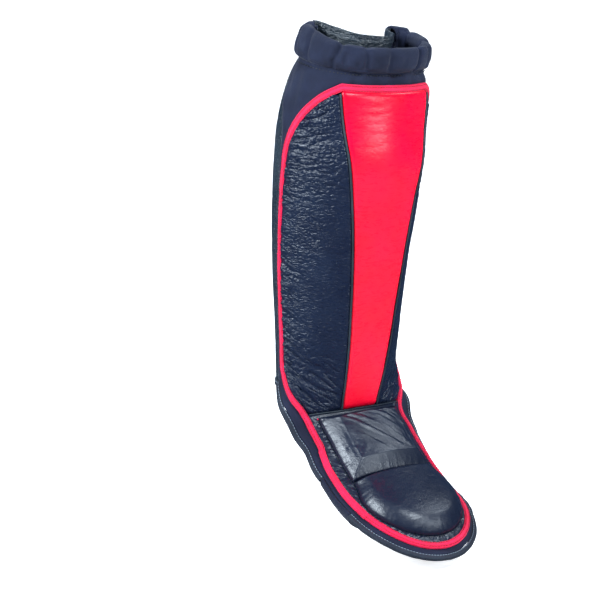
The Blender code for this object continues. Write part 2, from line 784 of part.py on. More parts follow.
def main():
    clear_scene()
    collection = bpy.data.collections.new("shin_pad")
    bpy.context.scene.collection.children.link(collection)
    neoprene = make_material("neoprene", (0.020, 0.026, 0.052), 0.85)
    black = make_material("black_leather", (0.022, 0.028, 0.040), 0.38)
    dark = make_material("dark_piping", (0.025, 0.034, 0.045), 0.45)
    red = make_material("red_leather", (0.80, 0.012, 0.045), 0.36)
    red_tape = make_material("red_tape", (0.82, 0.030, 0.110), 0.55)
    edge_tape = make_material("edge_tape", (0.050, 0.066, 0.090), 0.50)
    build_neoprene(neoprene, collection)
    build_back_panel(black, collection)
    build_cuff(neoprene, collection)
    build_shin_panels(red, black, dark, collection)
    build_foot_pads(black, collection)
    build_red_binding(red_tape, collection)
    build_edge_bindings(edge_tape, collection)
    build_strap(neoprene, collection)


main()
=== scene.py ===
import math

import bmesh
import bpy
import numpy as np
from mathutils import Matrix, Vector


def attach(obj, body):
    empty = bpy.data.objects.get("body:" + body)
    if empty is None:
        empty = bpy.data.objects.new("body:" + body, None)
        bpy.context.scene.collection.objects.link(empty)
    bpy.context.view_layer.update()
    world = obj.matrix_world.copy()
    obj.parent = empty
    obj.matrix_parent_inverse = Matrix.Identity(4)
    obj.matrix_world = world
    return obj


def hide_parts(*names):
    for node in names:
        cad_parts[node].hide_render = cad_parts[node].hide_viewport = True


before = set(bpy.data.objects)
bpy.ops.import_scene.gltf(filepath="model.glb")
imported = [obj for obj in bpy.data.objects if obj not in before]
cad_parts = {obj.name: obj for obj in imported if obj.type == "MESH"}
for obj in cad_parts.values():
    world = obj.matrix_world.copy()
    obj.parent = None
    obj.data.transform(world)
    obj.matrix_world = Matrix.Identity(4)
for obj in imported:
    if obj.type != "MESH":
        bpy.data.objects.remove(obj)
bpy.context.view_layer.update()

# Slip-on shin pad: the looks. Every piece is cut from one pattern of two distances in metres.
# "along" runs up the front ridge from the ankle seam and is negative down the foot.
# "across" is the girth measured round the leg from that ridge, to the wearer's left as +X.
# Left and right in the names are as seen from the front, so right is +X.

pattern = {  # the sizes of the CAD solids
    "shinLength": 0.326,
    "footLength": 0.178,
    "ankleReach": 0.048,
    "halfWidth": 0.079,
    "frontDepth": 0.055,
    "backDepth": 0.038,
    "backSquareness": 2.6,
    "dentDepth": 0.046,
    "dentHalfWidth": 0.037,
    "flareFrom": 0.70,
    "toeRound": 0.061,
    "cuffStart": 0.337,
    "heelSeam": 0.026,
    "heelBack": 0.047,
    "backTop": 0.364,
    "strapRear": 0.060,
    "strapWidth": 0.048,
    "strapDrop": 0.030,
    "flange": 0.0052,
    "redTape": 0.007,
    "wall": 0.0035,
}
shinLength, footLength = pattern["shinLength"], pattern["footLength"]
cuffStart, heelSeam = pattern["cuffStart"], pattern["heelSeam"]
toeRoundStart = pattern["toeRound"] - footLength  # below here the toe is round

# Rows hold shares of the sizes above; lean is the ridge's forward tilt in degrees.
formColumns = ("along", "lean", "halfWidth", "frontDepth", "squareness", "backDepth", "dent", "flare")
formRows = (
    (-1.15, -58, 1.05, 0.46, 2.0, 0.60, 0.0, 0.7),
    (-0.90, -55, 1.06, 0.54, 2.0, 0.60, 0.0, 0.8),
    (-0.65, -67, 1.08, 0.68, 2.0, 0.60, 0.0, 0.5),
    (-0.42, -60, 1.10, 0.80, 2.0, 0.60, 0.0, 0.1),
    (-0.20, -51, 1.11, 0.80, 2.0, 0.60, 0.0, 0.1),
    (-0.07, -52, 1.10, 0.74, 2.0, 0.62, 0.0, 0.5),
    (0.00, -20, 1.04, 0.70, 2.0, 0.68, 0.0, 0.7),
    (0.04, -5, 0.94, 0.70, 2.0, 0.62, 0.0, 0.25),
    (0.10, 0, 0.88, 0.74, 2.0, 0.66, 0.0, 0.0),
    (0.22, 2, 0.89, 0.82, 1.9, 0.76, 0.0, 0.0),
    (0.40, 3, 0.925, 0.94, 1.9, 0.93, 0.0, 0.0),
    (0.60, 3, 0.97, 1.01, 1.9, 1.06, 0.0, 0.0),
    (0.76, 2, 0.99, 1.03, 2.0, 1.08, 0.0, 0.0),
    (0.86, 3, 0.99, 1.03, 2.1, 1.04, 0.08, 0.0),
    (0.94, 4, 0.95, 1.01, 2.4, 0.98, 0.35, 0.0),
    (1.00, 6, 0.90, 0.98, 2.5, 0.90, 0.70, 0.0),
    (1.05, 9, 0.84, 0.95, 2.4, 0.84, 1.00, 0.0),
    (1.18, 12, 0.81, 0.94, 2.3, 0.80, 1.00, 0.0),
)

# The panels' half widths as shares of the quarter girth.
cutColumns = ("along", "red", "pad", "cloth")
cutRows = (
    (-1.15, 0.230, 0.658, 0.800),
    (-0.60, 0.230, 0.658, 0.800),
    (-0.34, 0.230, 0.600, 0.760),
    (-0.15, 0.230, 0.605, 0.710),
    (0.00, 0.235, 0.746, 0.875),
    (0.04, 0.232, 0.855, 0.955),
    (0.10, 0.228, 0.920, 1.000),
    (0.22, 0.230, 0.945, 1.000),
    (0.40, 0.243, 0.955, 1.000),
    (0.60, 0.283, 0.955, 1.000),
    (0.72, 0.327, 0.950, 1.000),
    (0.80, 0.365, 0.935, 1.000),
    (0.87, 0.410, 0.865, 1.010),
    (0.93, 0.450, 0.755, 1.060),
    (0.97, 0.478, 0.640, 1.140),
    (1.00, 0.500, 0.505, 1.215),
    (1.03, 0.500, 0.380, 1.285),
    (1.18, 0.500, 0.380, 1.300),
)

# How full the shin foam is, as a share of its height, up the shin.
fillPlaces = (0.00, 0.015, 0.05, 0.09, 0.14, 0.20, 0.34, 0.66, 0.79, 0.86, 0.92, 0.965, 0.99, 1.05)
fillShares = (0.25, 0.33, 0.50, 0.66, 0.79, 0.90, 0.98, 1.00, 0.98, 0.72, 0.49, 0.35, 0.26, 0.20)


def smoothRead(places, values, at):
    places, values = np.asarray(places, float), np.asarray(values, float)
    slopes = np.gradient(values, places)
    at = np.clip(at, places[0], places[-1])
    row = np.clip(np.searchsorted(places, at) - 1, 0, len(places) - 2)
    step = places[row + 1] - places[row]
    t = (at - places[row]) / step
    return (
        (2 * t**3 - 3 * t**2 + 1) * values[row] + (t**3 - 2 * t**2 + t) * step * slopes[row]
        + (3 * t**2 - 2 * t**3) * values[row + 1] + (t**3 - t**2) * step * slopes[row + 1]
    )


def ramp(value, width):
    return np.clip(value / width, 0, 1)


def between(low, high, share):
    return low * (1 - share) + high * share


def unit(vectors):
    return vectors / np.linalg.norm(vectors, axis=-1, keepdims=True)


def signedPower(value, power):
    return np.sign(value) * np.abs(value) ** power


def readTable(rows, columns, name, along):
    along = np.asarray(along, float)
    share = np.where(along >= 0, along / shinLength, along / footLength)
    places = [row[0] for row in rows]
    return smoothRead(places, [row[columns.index(name)] for row in rows], share)


def formValue(name, along):
    return readTable(formRows, formColumns, name, along)


gridStep = 0.001  # the form is kept as a table with a row for each millimetre along and across
formReach = {"down": 0.205, "up": 0.386, "girth": 0.26}  # how far the table runs


def traceRidge():
    # the ridge's along, y and z, down the foot and up the shin from the ankle seam
    parts = []
    for way, reach in ((-1, formReach["down"]), (1, formReach["up"])):
        run = np.arange(int(reach / gridStep)) * gridStep
        lean = np.radians(formValue("lean", way * (run + gridStep / 2)))
        y = -pattern["ankleReach"] - way * np.cumsum(gridStep * np.sin(lean))
        parts.append([way * (run + gridStep), y, way * np.cumsum(gridStep * np.cos(lean))])
    down, up = parts
    seam = (0, -pattern["ankleReach"], 0)
    return [np.concatenate([below[::-1], [middle], above]) for below, middle, above in zip(down, seam, up)]


ridgeAlong, ridgeY, ridgeZ = traceRidge()


def sectionTables():
    # how far sideways and behind the outline is, for each millimetre of ridge and of girth
    names = ("halfWidth", "frontDepth", "backDepth")
    half, front, back = (pattern[name] * formValue(name, ridgeAlong)[:, None] for name in names)
    dent = pattern["dentDepth"] * np.maximum(0, formValue("dent", ridgeAlong))[:, None]
    turn = np.radians(np.arange(181))
    ahead = np.arange(181) <= 90
    power = np.where(ahead, formValue("squareness", ridgeAlong)[:, None], pattern["backSquareness"])
    depth = np.where(ahead, front, back)
    reach = (np.abs(np.sin(turn) / half) ** power + np.abs(np.cos(turn) / depth) ** power) ** (-1 / power)
    sideways, behind = reach * np.sin(turn), front - reach * np.cos(turn)
    behind = behind - np.where(ahead, 0, dent * np.exp(-((sideways / pattern["dentHalfWidth"]) ** 4)))
    start = np.argmax(sideways > pattern["flareFrom"] * half, axis=1)[:, None]
    atStart = np.take_along_axis(behind, start, axis=1)
    fall = np.where(np.arange(181) > start, behind - atStart, 0)
    fall = np.where(ahead, fall, behind[:, 90:91] - atStart)
    behind = behind - fall * formValue("flare", ridgeAlong)[:, None]
    steps = np.hypot(np.diff(sideways, axis=1), np.diff(behind, axis=1))
    girth = np.concatenate([0 * start, np.cumsum(steps, axis=1)], axis=1)
    even = np.arange(0, formReach["girth"], gridStep)
    x = np.array([np.interp(even, *pair) for pair in zip(girth, sideways)])
    b = np.array([np.interp(even, *pair) for pair in zip(girth, behind)])
    return x, b, girth[:, 90], girth[:, -1]


formX, formBehind, quarterTable, halfTable = sectionTables()


def halfGirth(along):
    return np.interp(along, ridgeAlong, halfTable)


def cutEdge(name, along):
    return readTable(cutRows, cutColumns, name, along) * np.interp(along, ridgeAlong, quarterTable)


def onForm(along, across):
    # the sleeve's outer face; past half the girth the across line comes round to the other side
    along, across = np.broadcast_arrays(np.asarray(along, float), np.asarray(across, float))
    half = halfGirth(along)
    side = np.sign(across) + (across == 0)
    reach = np.abs(across)
    side = np.where(reach > half, -side, side)
    reach = np.where(reach > half, 2 * half - reach, reach)
    row = np.clip((along - ridgeAlong[0]) / gridStep, 0, len(ridgeAlong) - 1.001)
    column = np.clip(reach / gridStep, 0, formX.shape[1] - 1.001)
    r, c = row.astype(int), column.astype(int)
    fr, fc = row - r, column - c

    def read(table):
        above = between(table[r + 1, c], table[r + 1, c + 1], fc)
        return between(between(table[r, c], table[r, c + 1], fc), above, fr)

    lean = np.radians(formValue("lean", along))
    behind = read(formBehind)
    y = np.interp(along, ridgeAlong, ridgeY) + behind * np.cos(lean)
    z = np.interp(along, ridgeAlong, ridgeZ) + behind * np.sin(lean)
    return np.stack([side * read(formX), y, z], axis=-1)


def outward(along, across):
    step = 0.0015
    sideways = onForm(along, across + step) - onForm(along, across - step)
    upward = onForm(along + step, across) - onForm(along - step, across)
    return unit(np.cross(sideways, upward))


def pathOnShell(along, across, height=0.0):
    # points at a height over the sleeve's face, and the normals there
    normals = outward(along, across)
    return onForm(along, across) + normals * np.asarray(height)[..., None], normals


def onShell(along, across, height):
    return pathOnShell(along, across, height)[0]


def padEdge(along, inset=0.0):
    # half the width of the padded shield, set in from its edge
    along = np.asarray(along, float)
    width, step = cutEdge("pad", along), 0.002
    slope = (cutEdge("pad", along + step) - cutEdge("pad", along - step)) / (2 * step)
    toeShare = np.sqrt(1 - ramp(toeRoundStart - along, pattern["toeRound"] - inset) ** 2)
    return np.where(along < toeRoundStart, (width - inset) * toeShare, width - inset * np.hypot(1, slope))


def clothEdge(along):
    along = np.asarray(along, float)
    seam, flange = cutEdge("cloth", along), pattern["flange"]
    blend = ramp(-along, pattern["strapRear"])
    foot = between(seam, padEdge(along) + flange, blend)
    return np.where(along < toeRoundStart, padEdge(along, -flange), np.where(along < 0, foot, seam))


def backHem(share):
    return heelSeam + (pattern["heelBack"] - heelSeam) * np.cos(math.pi / 2 * share) ** 2


print("pattern laid out")

lattice = np.random.default_rng(11).uniform(-1, 1, 8192)  # one fixed set, so each run gives the same folds


def softNoise(u, v=0, seed=0):
    u, v = np.broadcast_arrays(np.asarray(u, float), np.asarray(v, float))
    iu, iv = np.floor(u).astype(int), np.floor(v).astype(int)
    fu, fv = u - iu, v - iv
    su = fu * fu * fu * (fu * (fu * 6 - 15) + 10)
    sv = fv * fv * fv * (fv * (fv * 6 - 15) + 10)

    def corner(a, b):
        return lattice[(a * 1619 + b * 3137 + a * b * 7 + seed * 977) % 8192]

    above = between(corner(iu, iv + 1), corner(iu + 1, iv + 1), su)
    return between(between(corner(iu, iv), corner(iu + 1, iv), su), above, sv)


def wrinkles(u, v, seed):
    # about -1 in thin creases, up to 0.5 on the puffed leather between them
    bend = 0.8 * softNoise(u * 0.8 + 5, v * 0.4, seed + 1)
    wide = softNoise(u, v + bend, seed + 3)
    other = softNoise(u * 0.8 + v * 0.35, v * 0.9 - u * 0.5 + bend, seed + 4)
    lines = np.exp(-((wide / 0.13) ** 2)) + 0.7 * np.exp(-((other / 0.11) ** 2))
    return 0.5 * np.sqrt(np.abs(wide)) - lines * 0.75


def edgeDrop(distance, radius):
    # 1 at an edge, falling on a quarter circle to 0 at the radius
    return 1 - np.sqrt(1 - (1 - ramp(distance, radius)) ** 2)


def hump(at, middle, spread):
    return np.exp(-(((at - middle) / spread) ** 2))


def foldLine(across, along, start, end, width):
    # 1 on a straight fold from start to end, fading over its width and its tips
    (x0, y0), (x1, y1) = start, end
    length = math.hypot(x1 - x0, y1 - y0)
    t = ((across - x0) * (x1 - x0) + (along - y0) * (y1 - y0)) / length**2
    off = ((across - x0) * (y1 - y0) - (along - y0) * (x1 - x0)) / length
    return np.exp(-((off / width) ** 2)) * np.clip(1.1 - np.abs(2 * t - 1) ** 3, 0, 1)


def spread(low, high, pitch):
    return np.linspace(low, high, max(3, int((high - low) / pitch)))[:, None]


def addObject(name, data, axes=None, place=None):
    thing = bpy.data.objects.new(name, data)
    bpy.context.scene.collection.objects.link(thing)
    if axes is not None:
        stand = axes.to_4x4()
        stand.translation = place
        thing.matrix_world = stand
    return thing


def addMesh(name, vertices, faces, material):
    mesh = bpy.data.meshes.new(name)
    mesh.from_pydata(vertices.reshape(-1, 3).tolist(), [], faces)
    mesh.validate()
    mesh.shade_smooth()
    mesh.materials.append(material)
    return addObject(name, mesh)


def gridFaces(points, closed=False, flip=False):
    rows, columns = points.shape[:2]
    index = np.arange(rows * columns).reshape(rows, columns)
    if closed:
        index = np.concatenate([index, index[:, :1]], axis=1)
    a, b, c, d = index[:-1, :-1], index[:-1, 1:], index[1:, 1:], index[1:, :-1]
    return np.stack([d, c, b, a] if flip else [a, b, c, d], axis=-1).reshape(-1, 4).tolist()


def gridMesh(name, points, material, closed=False, thick=0.0, flip=False):
    piece = addMesh(name, points, gridFaces(points, closed, flip), material)
    if thick:
        wall = piece.modifiers.new("Wall", "SOLIDIFY")
        wall.thickness = thick
        wall.offset = -1
    return piece


def dress(piece, slot, *nodes):
    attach(piece, "root")
    if nodes:
        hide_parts(*nodes)
    print("made", piece.name, len(piece.data.polygons), "faces")


# Padding is swollen by a cloth simulation of a coarse copy, whose movement is laid on the fine one.

simFrames = 20
simSettings = {
    "quality": 6,
    "mass": 0.25,
    "tension_stiffness": 12,
    "compression_stiffness": 12,
    "bending_stiffness": 0.6,
    "use_pressure": True,
    "uniform_pressure_force": 4.0,
    "vertex_group_mass": "sewn",
}


def simulateSwell(name, points, pinned, cap, grow=0.0):
    # points is a grid of rings round the padding; pinned marks the ones sewn down
    rows, count = points.shape[:2]
    first, last = range(count), range((rows - 1) * count, rows * count)
    faces = gridFaces(points, closed=True) + [tuple(first)[::-1], tuple(last)]
    coarse = addMesh(name, points, faces, blackLeather)
    shaper = bmesh.new()
    shaper.from_mesh(coarse.data)
    bmesh.ops.recalc_face_normals(shaper, faces=shaper.faces)  # the pressure pushes along the normals
    shaper.to_mesh(coarse.data)
    shaper.free()
    group = coarse.vertex_groups.new(name="sewn")
    group.add([int(i) for i in np.flatnonzero(pinned)], 1.0, "REPLACE")
    cloth = coarse.modifiers.new("Swell", "CLOTH")
    for key, value in simSettings.items():
        setattr(cloth.settings, key, value)
    cloth.settings.shrink_min = -grow
    cloth.settings.effector_weights.gravity = 0
    cloth.collision_settings.use_collision = False
    scene = bpy.context.scene
    for frameNow in range(1, simFrames + 1):
        scene.frame_set(frameNow)
    view = coarse.evaluated_get(bpy.context.evaluated_depsgraph_get())
    moved = np.array([tuple(v.co) for v in view.data.vertices]).reshape(points.shape) - points
    scene.frame_set(1)
    bpy.data.objects.remove(coarse, do_unlink=True)
    size = np.linalg.norm(moved, axis=-1, keepdims=True)
    print("swelled", name, "by up to", round(float(size.max()) * 1000, 1), "mm")
    return moved * np.minimum(1, cap / np.maximum(size, 1e-9))


def resample(values, rows, columns, closed=False):
    # a coarse grid's values read on a finer one
    if closed:
        values = np.concatenate([values, values[:, :1]], axis=1)
    r = np.linspace(0, values.shape[0] - 1.0001, rows)
    c = np.linspace(0, values.shape[1] - 1.0001, columns + 1 if closed else columns)[:columns]
    i, j = r.astype(int)[:, None], c.astype(int)[None, :]
    fr, fc = (r - r.astype(int))[:, None, None], (c - c.astype(int))[None, :, None]
    fr, fc = fr * fr * (3 - 2 * fr), fc * fc * (3 - 2 * fc)
    above = between(values[i + 1, j], values[i + 1, j + 1], fc)
    return between(between(values[i, j], values[i, j + 1], fc), above, fr)


def swellPad(name, along, across, heightOf, base, cap):
    # the pad's top and underside as rings along its length, the underside sewn down
    count = across.shape[1]
    top = onShell(along, across, heightOf(along, across) * 0.985)
    rings = np.concatenate([top, onShell(along, across, base)[:, ::-1]], axis=1)
    pinned = np.ones(rings.shape[:2], bool)
    pinned[1:-1, 1:count - 1] = False
    return simulateSwell(name, rings, pinned, cap)[:, :count]


def padMesh(name, along, across, height, swell, material, flip=False):
    points = onShell(along, across, height) + resample(swell, *height.shape)
    return gridMesh(name, points, material, flip=flip)


# Materials: node textures in the object's own space, scales in repeats a metre


def setInputs(tree, node, inputs):
    # each input gets a value, or a link from the output given for it
    for key, value in inputs.items():
        if isinstance(value, bpy.types.NodeSocket):
            tree.links.new(value, node.inputs[key])
        else:
            node.inputs[key].default_value = value


def addNode(tree, kind, output, inputs, **settings):
    node = tree.nodes.new("ShaderNode" + kind)
    for key, value in settings.items():
        setattr(node, key, value)
    setInputs(tree, node, inputs)
    return node.outputs[output]


def addNoise(tree, place, scale, detail, output="Fac", **others):
    return addNode(tree, "TexNoise", output, {"Vector": place, "Scale": scale, "Detail": detail, **others})


def addCells(tree, place, scale):
    inputs = {"Vector": place, "Scale": scale}
    return addNode(tree, "TexVoronoi", "Distance", inputs, feature="DISTANCE_TO_EDGE")


def stretched(tree, place, scale, turn):
    return addNode(tree, "Mapping", "Vector", {"Vector": place, "Scale": scale, "Rotation": (0, turn, 0)})


def colourRange(tree, source, dark, light):
    band = tree.nodes.new("ShaderNodeValToRGB")
    for element, position, colour in zip(band.color_ramp.elements, (0.3, 0.7), (dark, light)):
        element.position = position
        element.color = (*colour, 1)
    tree.links.new(source, band.inputs["Fac"])
    return band.outputs["Color"]


def stackBumps(tree, *layers):
    # layers of (height output, strength, distance), coarse ones first
    below = {}
    for height, strength, distance in layers:
        inputs = {"Height": height, "Strength": strength, "Distance": distance, **below}
        below = {"Normal": addNode(tree, "Bump", "Normal", inputs)}
    return below


def startMaterial(name):
    material = bpy.data.materials.new(name)
    material.use_nodes = True
    tree = material.node_tree
    place = tree.nodes.new("ShaderNodeTexCoord").outputs["Object"]
    return material, tree, tree.nodes["Principled BSDF"], place


def makeLeather(name, dark, light, gloss, grain, wrinkle, paintedSheenColour, specular=0.3, crinkle=0.6):
    material, tree, shader, place = startMaterial(name)
    warp = addNoise(tree, place, 90, 4, "Color")
    warped = addNode(tree, "Mix", "Result", {"Factor": 0.008, "A": place, "B": warp}, data_type="VECTOR")
    cells = addCells(tree, stretched(tree, warped, (150, 150, 380), 0.3), 1)
    narrow = {"Value": cells, "From Max": 0.28}
    crease = addNode(tree, "MapRange", "Result", narrow, interpolation_type="SMOOTHSTEP")
    pebble, pores = addCells(tree, place, 820), addNoise(tree, place, 1900, 3)
    streakSpace = stretched(tree, place, (130, 130, 420), 0.25)
    streak = addNoise(tree, streakSpace, 1, 6, Roughness=0.62, Distortion=0.6)
    # a lighter colour laid on the raised streaks of the bump: a painted sheen on the wrinkles
    paintedSheenStreaks = {"Value": streak, "From Min": 0.60, "From Max": 0.80, "To Max": 0.45}
    body = {
        "Factor": addNode(tree, "MapRange", "Result", paintedSheenStreaks),
        "A": colourRange(tree, addNoise(tree, place, 26, 5), dark, light),
        "B": (*paintedSheenColour, 1),
    }
    rough = {"Value": streak, "To Min": gloss - 0.10, "To Max": gloss + 0.14}
    setInputs(tree, shader, {
        "Base Color": addNode(tree, "Mix", "Result", body, data_type="RGBA"),
        "Roughness": addNode(tree, "MapRange", "Result", rough),
        "Specular IOR Level": specular,
        **stackBumps(
            tree, (crease, crinkle, 0.0008), (streak, wrinkle, 0.0026),
            (pebble, grain, 0.00028), (pores, grain / 2, 0.0001),
        ),
    })
    return material


def makeCloth(name, dark, light, roughness, threads, sheen, depth=0.00018):
    material, tree, shader, place = startMaterial(name)
    weave = {"Vector": place, "Scale": threads, "Distortion": 1.2, "Detail": 2}
    knit, cross = (addNode(tree, "TexWave", "Fac", weave, bands_direction=way) for way in ("Z", "DIAGONAL"))
    fluff, cloud = addNoise(tree, place, 1500, 3), addNoise(tree, place, 55, 6)
    rough = {"Value": fluff, "To Min": roughness - 0.08, "To Max": roughness + 0.08}
    setInputs(tree, shader, {
        "Base Color": colourRange(tree, cloud, dark, light),
        "Roughness": addNode(tree, "MapRange", "Result", rough),
        "Specular IOR Level": 0.3,
        "Sheen Weight": sheen,
        "Sheen Roughness": 0.45,
        **stackBumps(
            tree, (cloud, 0.25, 0.0008), (knit, 0.4, depth), (cross, 0.4, depth), (fluff, 0.4, depth / 2)
        ),
    })
    return material


# cloth: dark and light colour, roughness, threads a metre, sheen, depth of the weave
# leather: dark and light colour, gloss, grain, streaks, painted sheen colour laid on the raised streaks,
# specular, crinkle
neoprene = makeCloth("navyNeoprene", (0.0035, 0.006, 0.020), (0.007, 0.011, 0.032), 0.84, 620, 0.05)
redTape = makeCloth("redTape", (0.68, 0.002, 0.040), (0.80, 0.005, 0.066), 0.60, 820, 0.04)
edgeTape = makeCloth("edgeTape", (0.006, 0.009, 0.018), (0.012, 0.017, 0.030), 0.60, 820, 0.06)
darkThread = makeCloth("darkThread", (0.003, 0.004, 0.007), (0.008, 0.010, 0.016), 0.5, 2500, 0.1, 0.00004)
redThread = makeCloth("redThread", (0.30, 0.001, 0.014), (0.42, 0.002, 0.024), 0.5, 2500, 0.1, 0.00004)
paleThread = makeCloth("paleThread", (0.13, 0.17, 0.22), (0.24, 0.29, 0.35), 0.5, 2500, 0.1, 0.00004)
blackLeather = makeLeather(
    "blackLeather", (0.0035, 0.0065, 0.019), (0.006, 0.011, 0.027), 0.28, 0.25, 0.30,
    (0.012, 0.021, 0.036), 0.34, 0.36,
)
footLeather = makeLeather(
    "footLeather", (0.0030, 0.0055, 0.016), (0.005, 0.009, 0.023), 0.34, 0.30, 0.12,
    (0.009, 0.016, 0.027), 0.50, 0.04,
)
# the back panel's black leather given lighter colours and lighter streaks: a painted sheen on the inner
# face seen over the cuff
paintedSheenBackLeather = makeLeather(
    "paintedSheenBackLeather", (0.008, 0.013, 0.020), (0.020, 0.030, 0.040), 0.30, 0.5, 0.7, (0.05, 0.07, 0.09), 0.7
)
redLeather = makeLeather(
    "redLeather", (0.74, 0.0001, 0.016), (0.88, 0.0003, 0.028), 0.27, 0.14, 0.08,
    (0.90, 0.001, 0.040), 0.22, 0.04,
)
pipingLeather = makeLeather(
    "pipingLeather", (0.010, 0.016, 0.022), (0.024, 0.034, 0.044), 0.40, 0.3, 0.2,
    (0.07, 0.09, 0.11), 0.4, 0.1,
)
print("materials mixed")

# Shin shield

shinSettings = {
    "foamHeight": 0.0185,
    "edgeHeight": 0.0036,
    "centreHollow": 0.05,
    "sideFall": 2.4,
    "base": 0.0006,
    "start": 0.0016,  # the panels' lower ends over the ankle seam
    "tip": 0.006,  # the side panels' least width
    "pitch": 0.0009,
    "seamDip": 0.0020,
    "seamRound": 0.0045,
    "tapeDip": 0.0012,
    "tapeRound": 0.0035,
    "endDip": 0.0022,
    "endRound": 0.006,
    "seamGap": 0.0026,  # from the red cut to the black leather
    "foldDepth": 0.0019,
    "smallFolds": 0.00072,
    "foldLength": 0.0170,
    "foldPitch": 0.0037,
    "slopePlaces": (0.0, 0.30, 0.62, 0.82, 1.0),  # the folds fan out from the tape's corners
    "slopes": (-0.62, -0.48, -0.25, 0.30, 0.45),
    "gatherDepth": 0.0008,
    "gatherPitch": 0.0034,
    "ankleGather": 0.0006,
    "sag": 0.0007,
    "redEndDip": 0.0026,
    "redEndRound": 0.0055,
    "redSag": 0.0003,
    "redCreases": 0.00016,
    "swell": 0.0015,
}
# the red tape's width along the shield in shares of the pattern's: narrow on the sides of the shin
tapePlaces = (-1.0, -0.10, 0.0, 0.10, 0.30, 0.66, 0.84, 1.0)
tapeShares = (0.88, 0.88, 0.84, 0.66, 0.56, 0.58, 0.95, 1.0)


def tapeShare(along):
    return smoothRead(tapePlaces, tapeShares, np.asarray(along) / shinLength)


def shieldInset(along):
    return pattern["redTape"] * tapeShare(along) + 0.0003


tapeLap = 0.0012  # how far the leather runs in under the tape
topInset = float(shieldInset(shinLength))
toeInset = float(shieldInset(-footLength))


def seamHeight(along):
    share = smoothRead(fillPlaces, fillShares, np.asarray(along) / shinLength)
    return np.maximum(shinSettings["edgeHeight"], shinSettings["foamHeight"] * share)


def centreEdge(along):
    return np.minimum(cutEdge("red", along), padEdge(along, shieldInset(along)))


def centreHeight(along, across):
    share = np.clip(across / centreEdge(along), -1, 1)
    return seamHeight(along) * (1 - shinSettings["centreHollow"] * (1 - share**2))


def makeCentrePanel():
    s = shinSettings
    low, high = s["start"], shinLength - topInset + 0.001
    coarse = np.linspace(low, high, 60)[:, None]
    across = np.linspace(-1, 1, 17) * centreEdge(coarse)
    swell = swellPad("centreSwell", coarse, across, centreHeight, s["base"], s["swell"] / 2)
    along = spread(low, high, s["pitch"] * 1.2)
    edge = centreEdge(along)
    across = np.linspace(-1, 1, 90) * edge
    height = centreHeight(along, across)
    height -= s["seamDip"] * edgeDrop(edge - np.abs(across), s["seamRound"])
    height -= s["redEndDip"] * edgeDrop(np.minimum(along - low, high - along), s["redEndRound"])
    height += s["redSag"] * softNoise(across / 0.022, along / 0.03, 3)
    nearTop = 0.25 + 0.75 * hump(along, 0.285, 0.035)
    height += s["redCreases"] * softNoise(across / 0.016, along / 0.0042, 4) * nearTop
    piece = padMesh("redCentrePanel", along, across, height, swell, redLeather)
    dress(piece, "red_leather", "centre_panel")


def makeSidePanel(side, name, node):
    s = shinSettings
    low, top = s["start"], shinLength - topInset
    while padEdge(top, shieldInset(top)) - cutEdge("red", top) < s["tip"]:
        top -= 0.0005

    def edges(along):
        return cutEdge("red", along) + s["seamGap"], padEdge(along, shieldInset(along) - tapeLap)

    def placeAcross(along, count):
        inner, outer = edges(along)
        return side * (inner + (outer - inner) * np.linspace(0, 1, count))

    def sideHeight(along, across):
        inner, outer = edges(along)
        share = ramp(np.abs(across) - inner, outer - inner)
        return s["edgeHeight"] + (seamHeight(along) - s["edgeHeight"]) * (1 - share) ** s["sideFall"]

    coarse = np.linspace(low, top, 60)[:, None]
    swell = swellPad(name + "Swell", coarse, placeAcross(coarse, 14), sideHeight, s["base"], s["swell"])
    along = spread(low, top, s["pitch"])
    inner, outer = edges(along)
    across = placeAcross(along, 84)
    reach = np.abs(across)
    height = sideHeight(along, across)
    toSeam, toTape, toEnd = reach - inner, outer - reach, along - low
    height -= s["seamDip"] * edgeDrop(toSeam, s["seamRound"])
    height -= s["tapeDip"] * edgeDrop(toTape, s["tapeRound"]) + s["endDip"] * edgeDrop(toEnd, s["endRound"])
    seed = 20 if side > 0 else 40
    slope = smoothRead(s["slopePlaces"], s["slopes"], along / shinLength)
    u = (reach - 0.3 * along) / s["foldLength"]
    v = (along + reach * slope) / s["foldPitch"]
    patches = 0.6 + 0.5 * softNoise(reach / 0.030, along / 0.045, seed + 7)
    nearEnds = hump(along, 0.270, 0.040) + 0.8 * hump(along, 0.020, 0.032)
    calm = np.clip(toSeam / 0.012, 0.05, 1) * np.clip(toTape / 0.003, 0.25, 1)
    busy = patches * (0.30 + 0.75 * np.exp(-toTape / 0.018) + 0.75 * nearEnds)
    height += s["foldDepth"] * wrinkles(u, v, seed) * calm * busy
    height += s["smallFolds"] * wrinkles(u * 1.9, v * 1.8, seed + 9) * calm * (0.10 + busy)
    gather = softNoise(along / s["gatherPitch"], toTape / 0.010, seed + 5)
    height += s["gatherDepth"] * gather * np.exp(-toTape / 0.007)
    height += s["ankleGather"] * softNoise(reach / 0.0046, along / 0.012, seed + 6) * np.exp(-toEnd / 0.011)
    height += s["sag"] * softNoise(reach / 0.024, along / 0.050, seed + 8) * calm
    piece = padMesh(name, along, across, height, swell, blackLeather, flip=side < 0)
    dress(piece, "black_leather", node)


def sweep(name, path, profile, material, closed=False):
    # path is points and normals; profile holds (sideways, up) round the ring, one set or one a station
    points, normals = path
    if closed:
        tangents = np.roll(points, -1, axis=0) - np.roll(points, 1, axis=0)
    else:
        tangents = np.gradient(points, axis=0)
    sides = unit(np.cross(tangents, normals))
    ups = unit(np.cross(sides, tangents))
    profile = np.broadcast_to(profile, (len(points), *np.shape(profile)[-2:]))
    rings = points[:, None] + sides[:, None] * profile[..., :1] + ups[:, None] * profile[..., 1:]
    if closed:
        rings = np.concatenate([rings, rings[:1]])
    else:
        middle = rings.mean(axis=1, keepdims=True)  # the ends are closed by drawing their rings in
        tips = middle + (rings - middle) * 0.02
        rings = np.concatenate([tips[:1], rings, tips[-1:]])
    return gridMesh(name, rings, material, closed=True, flip=True)


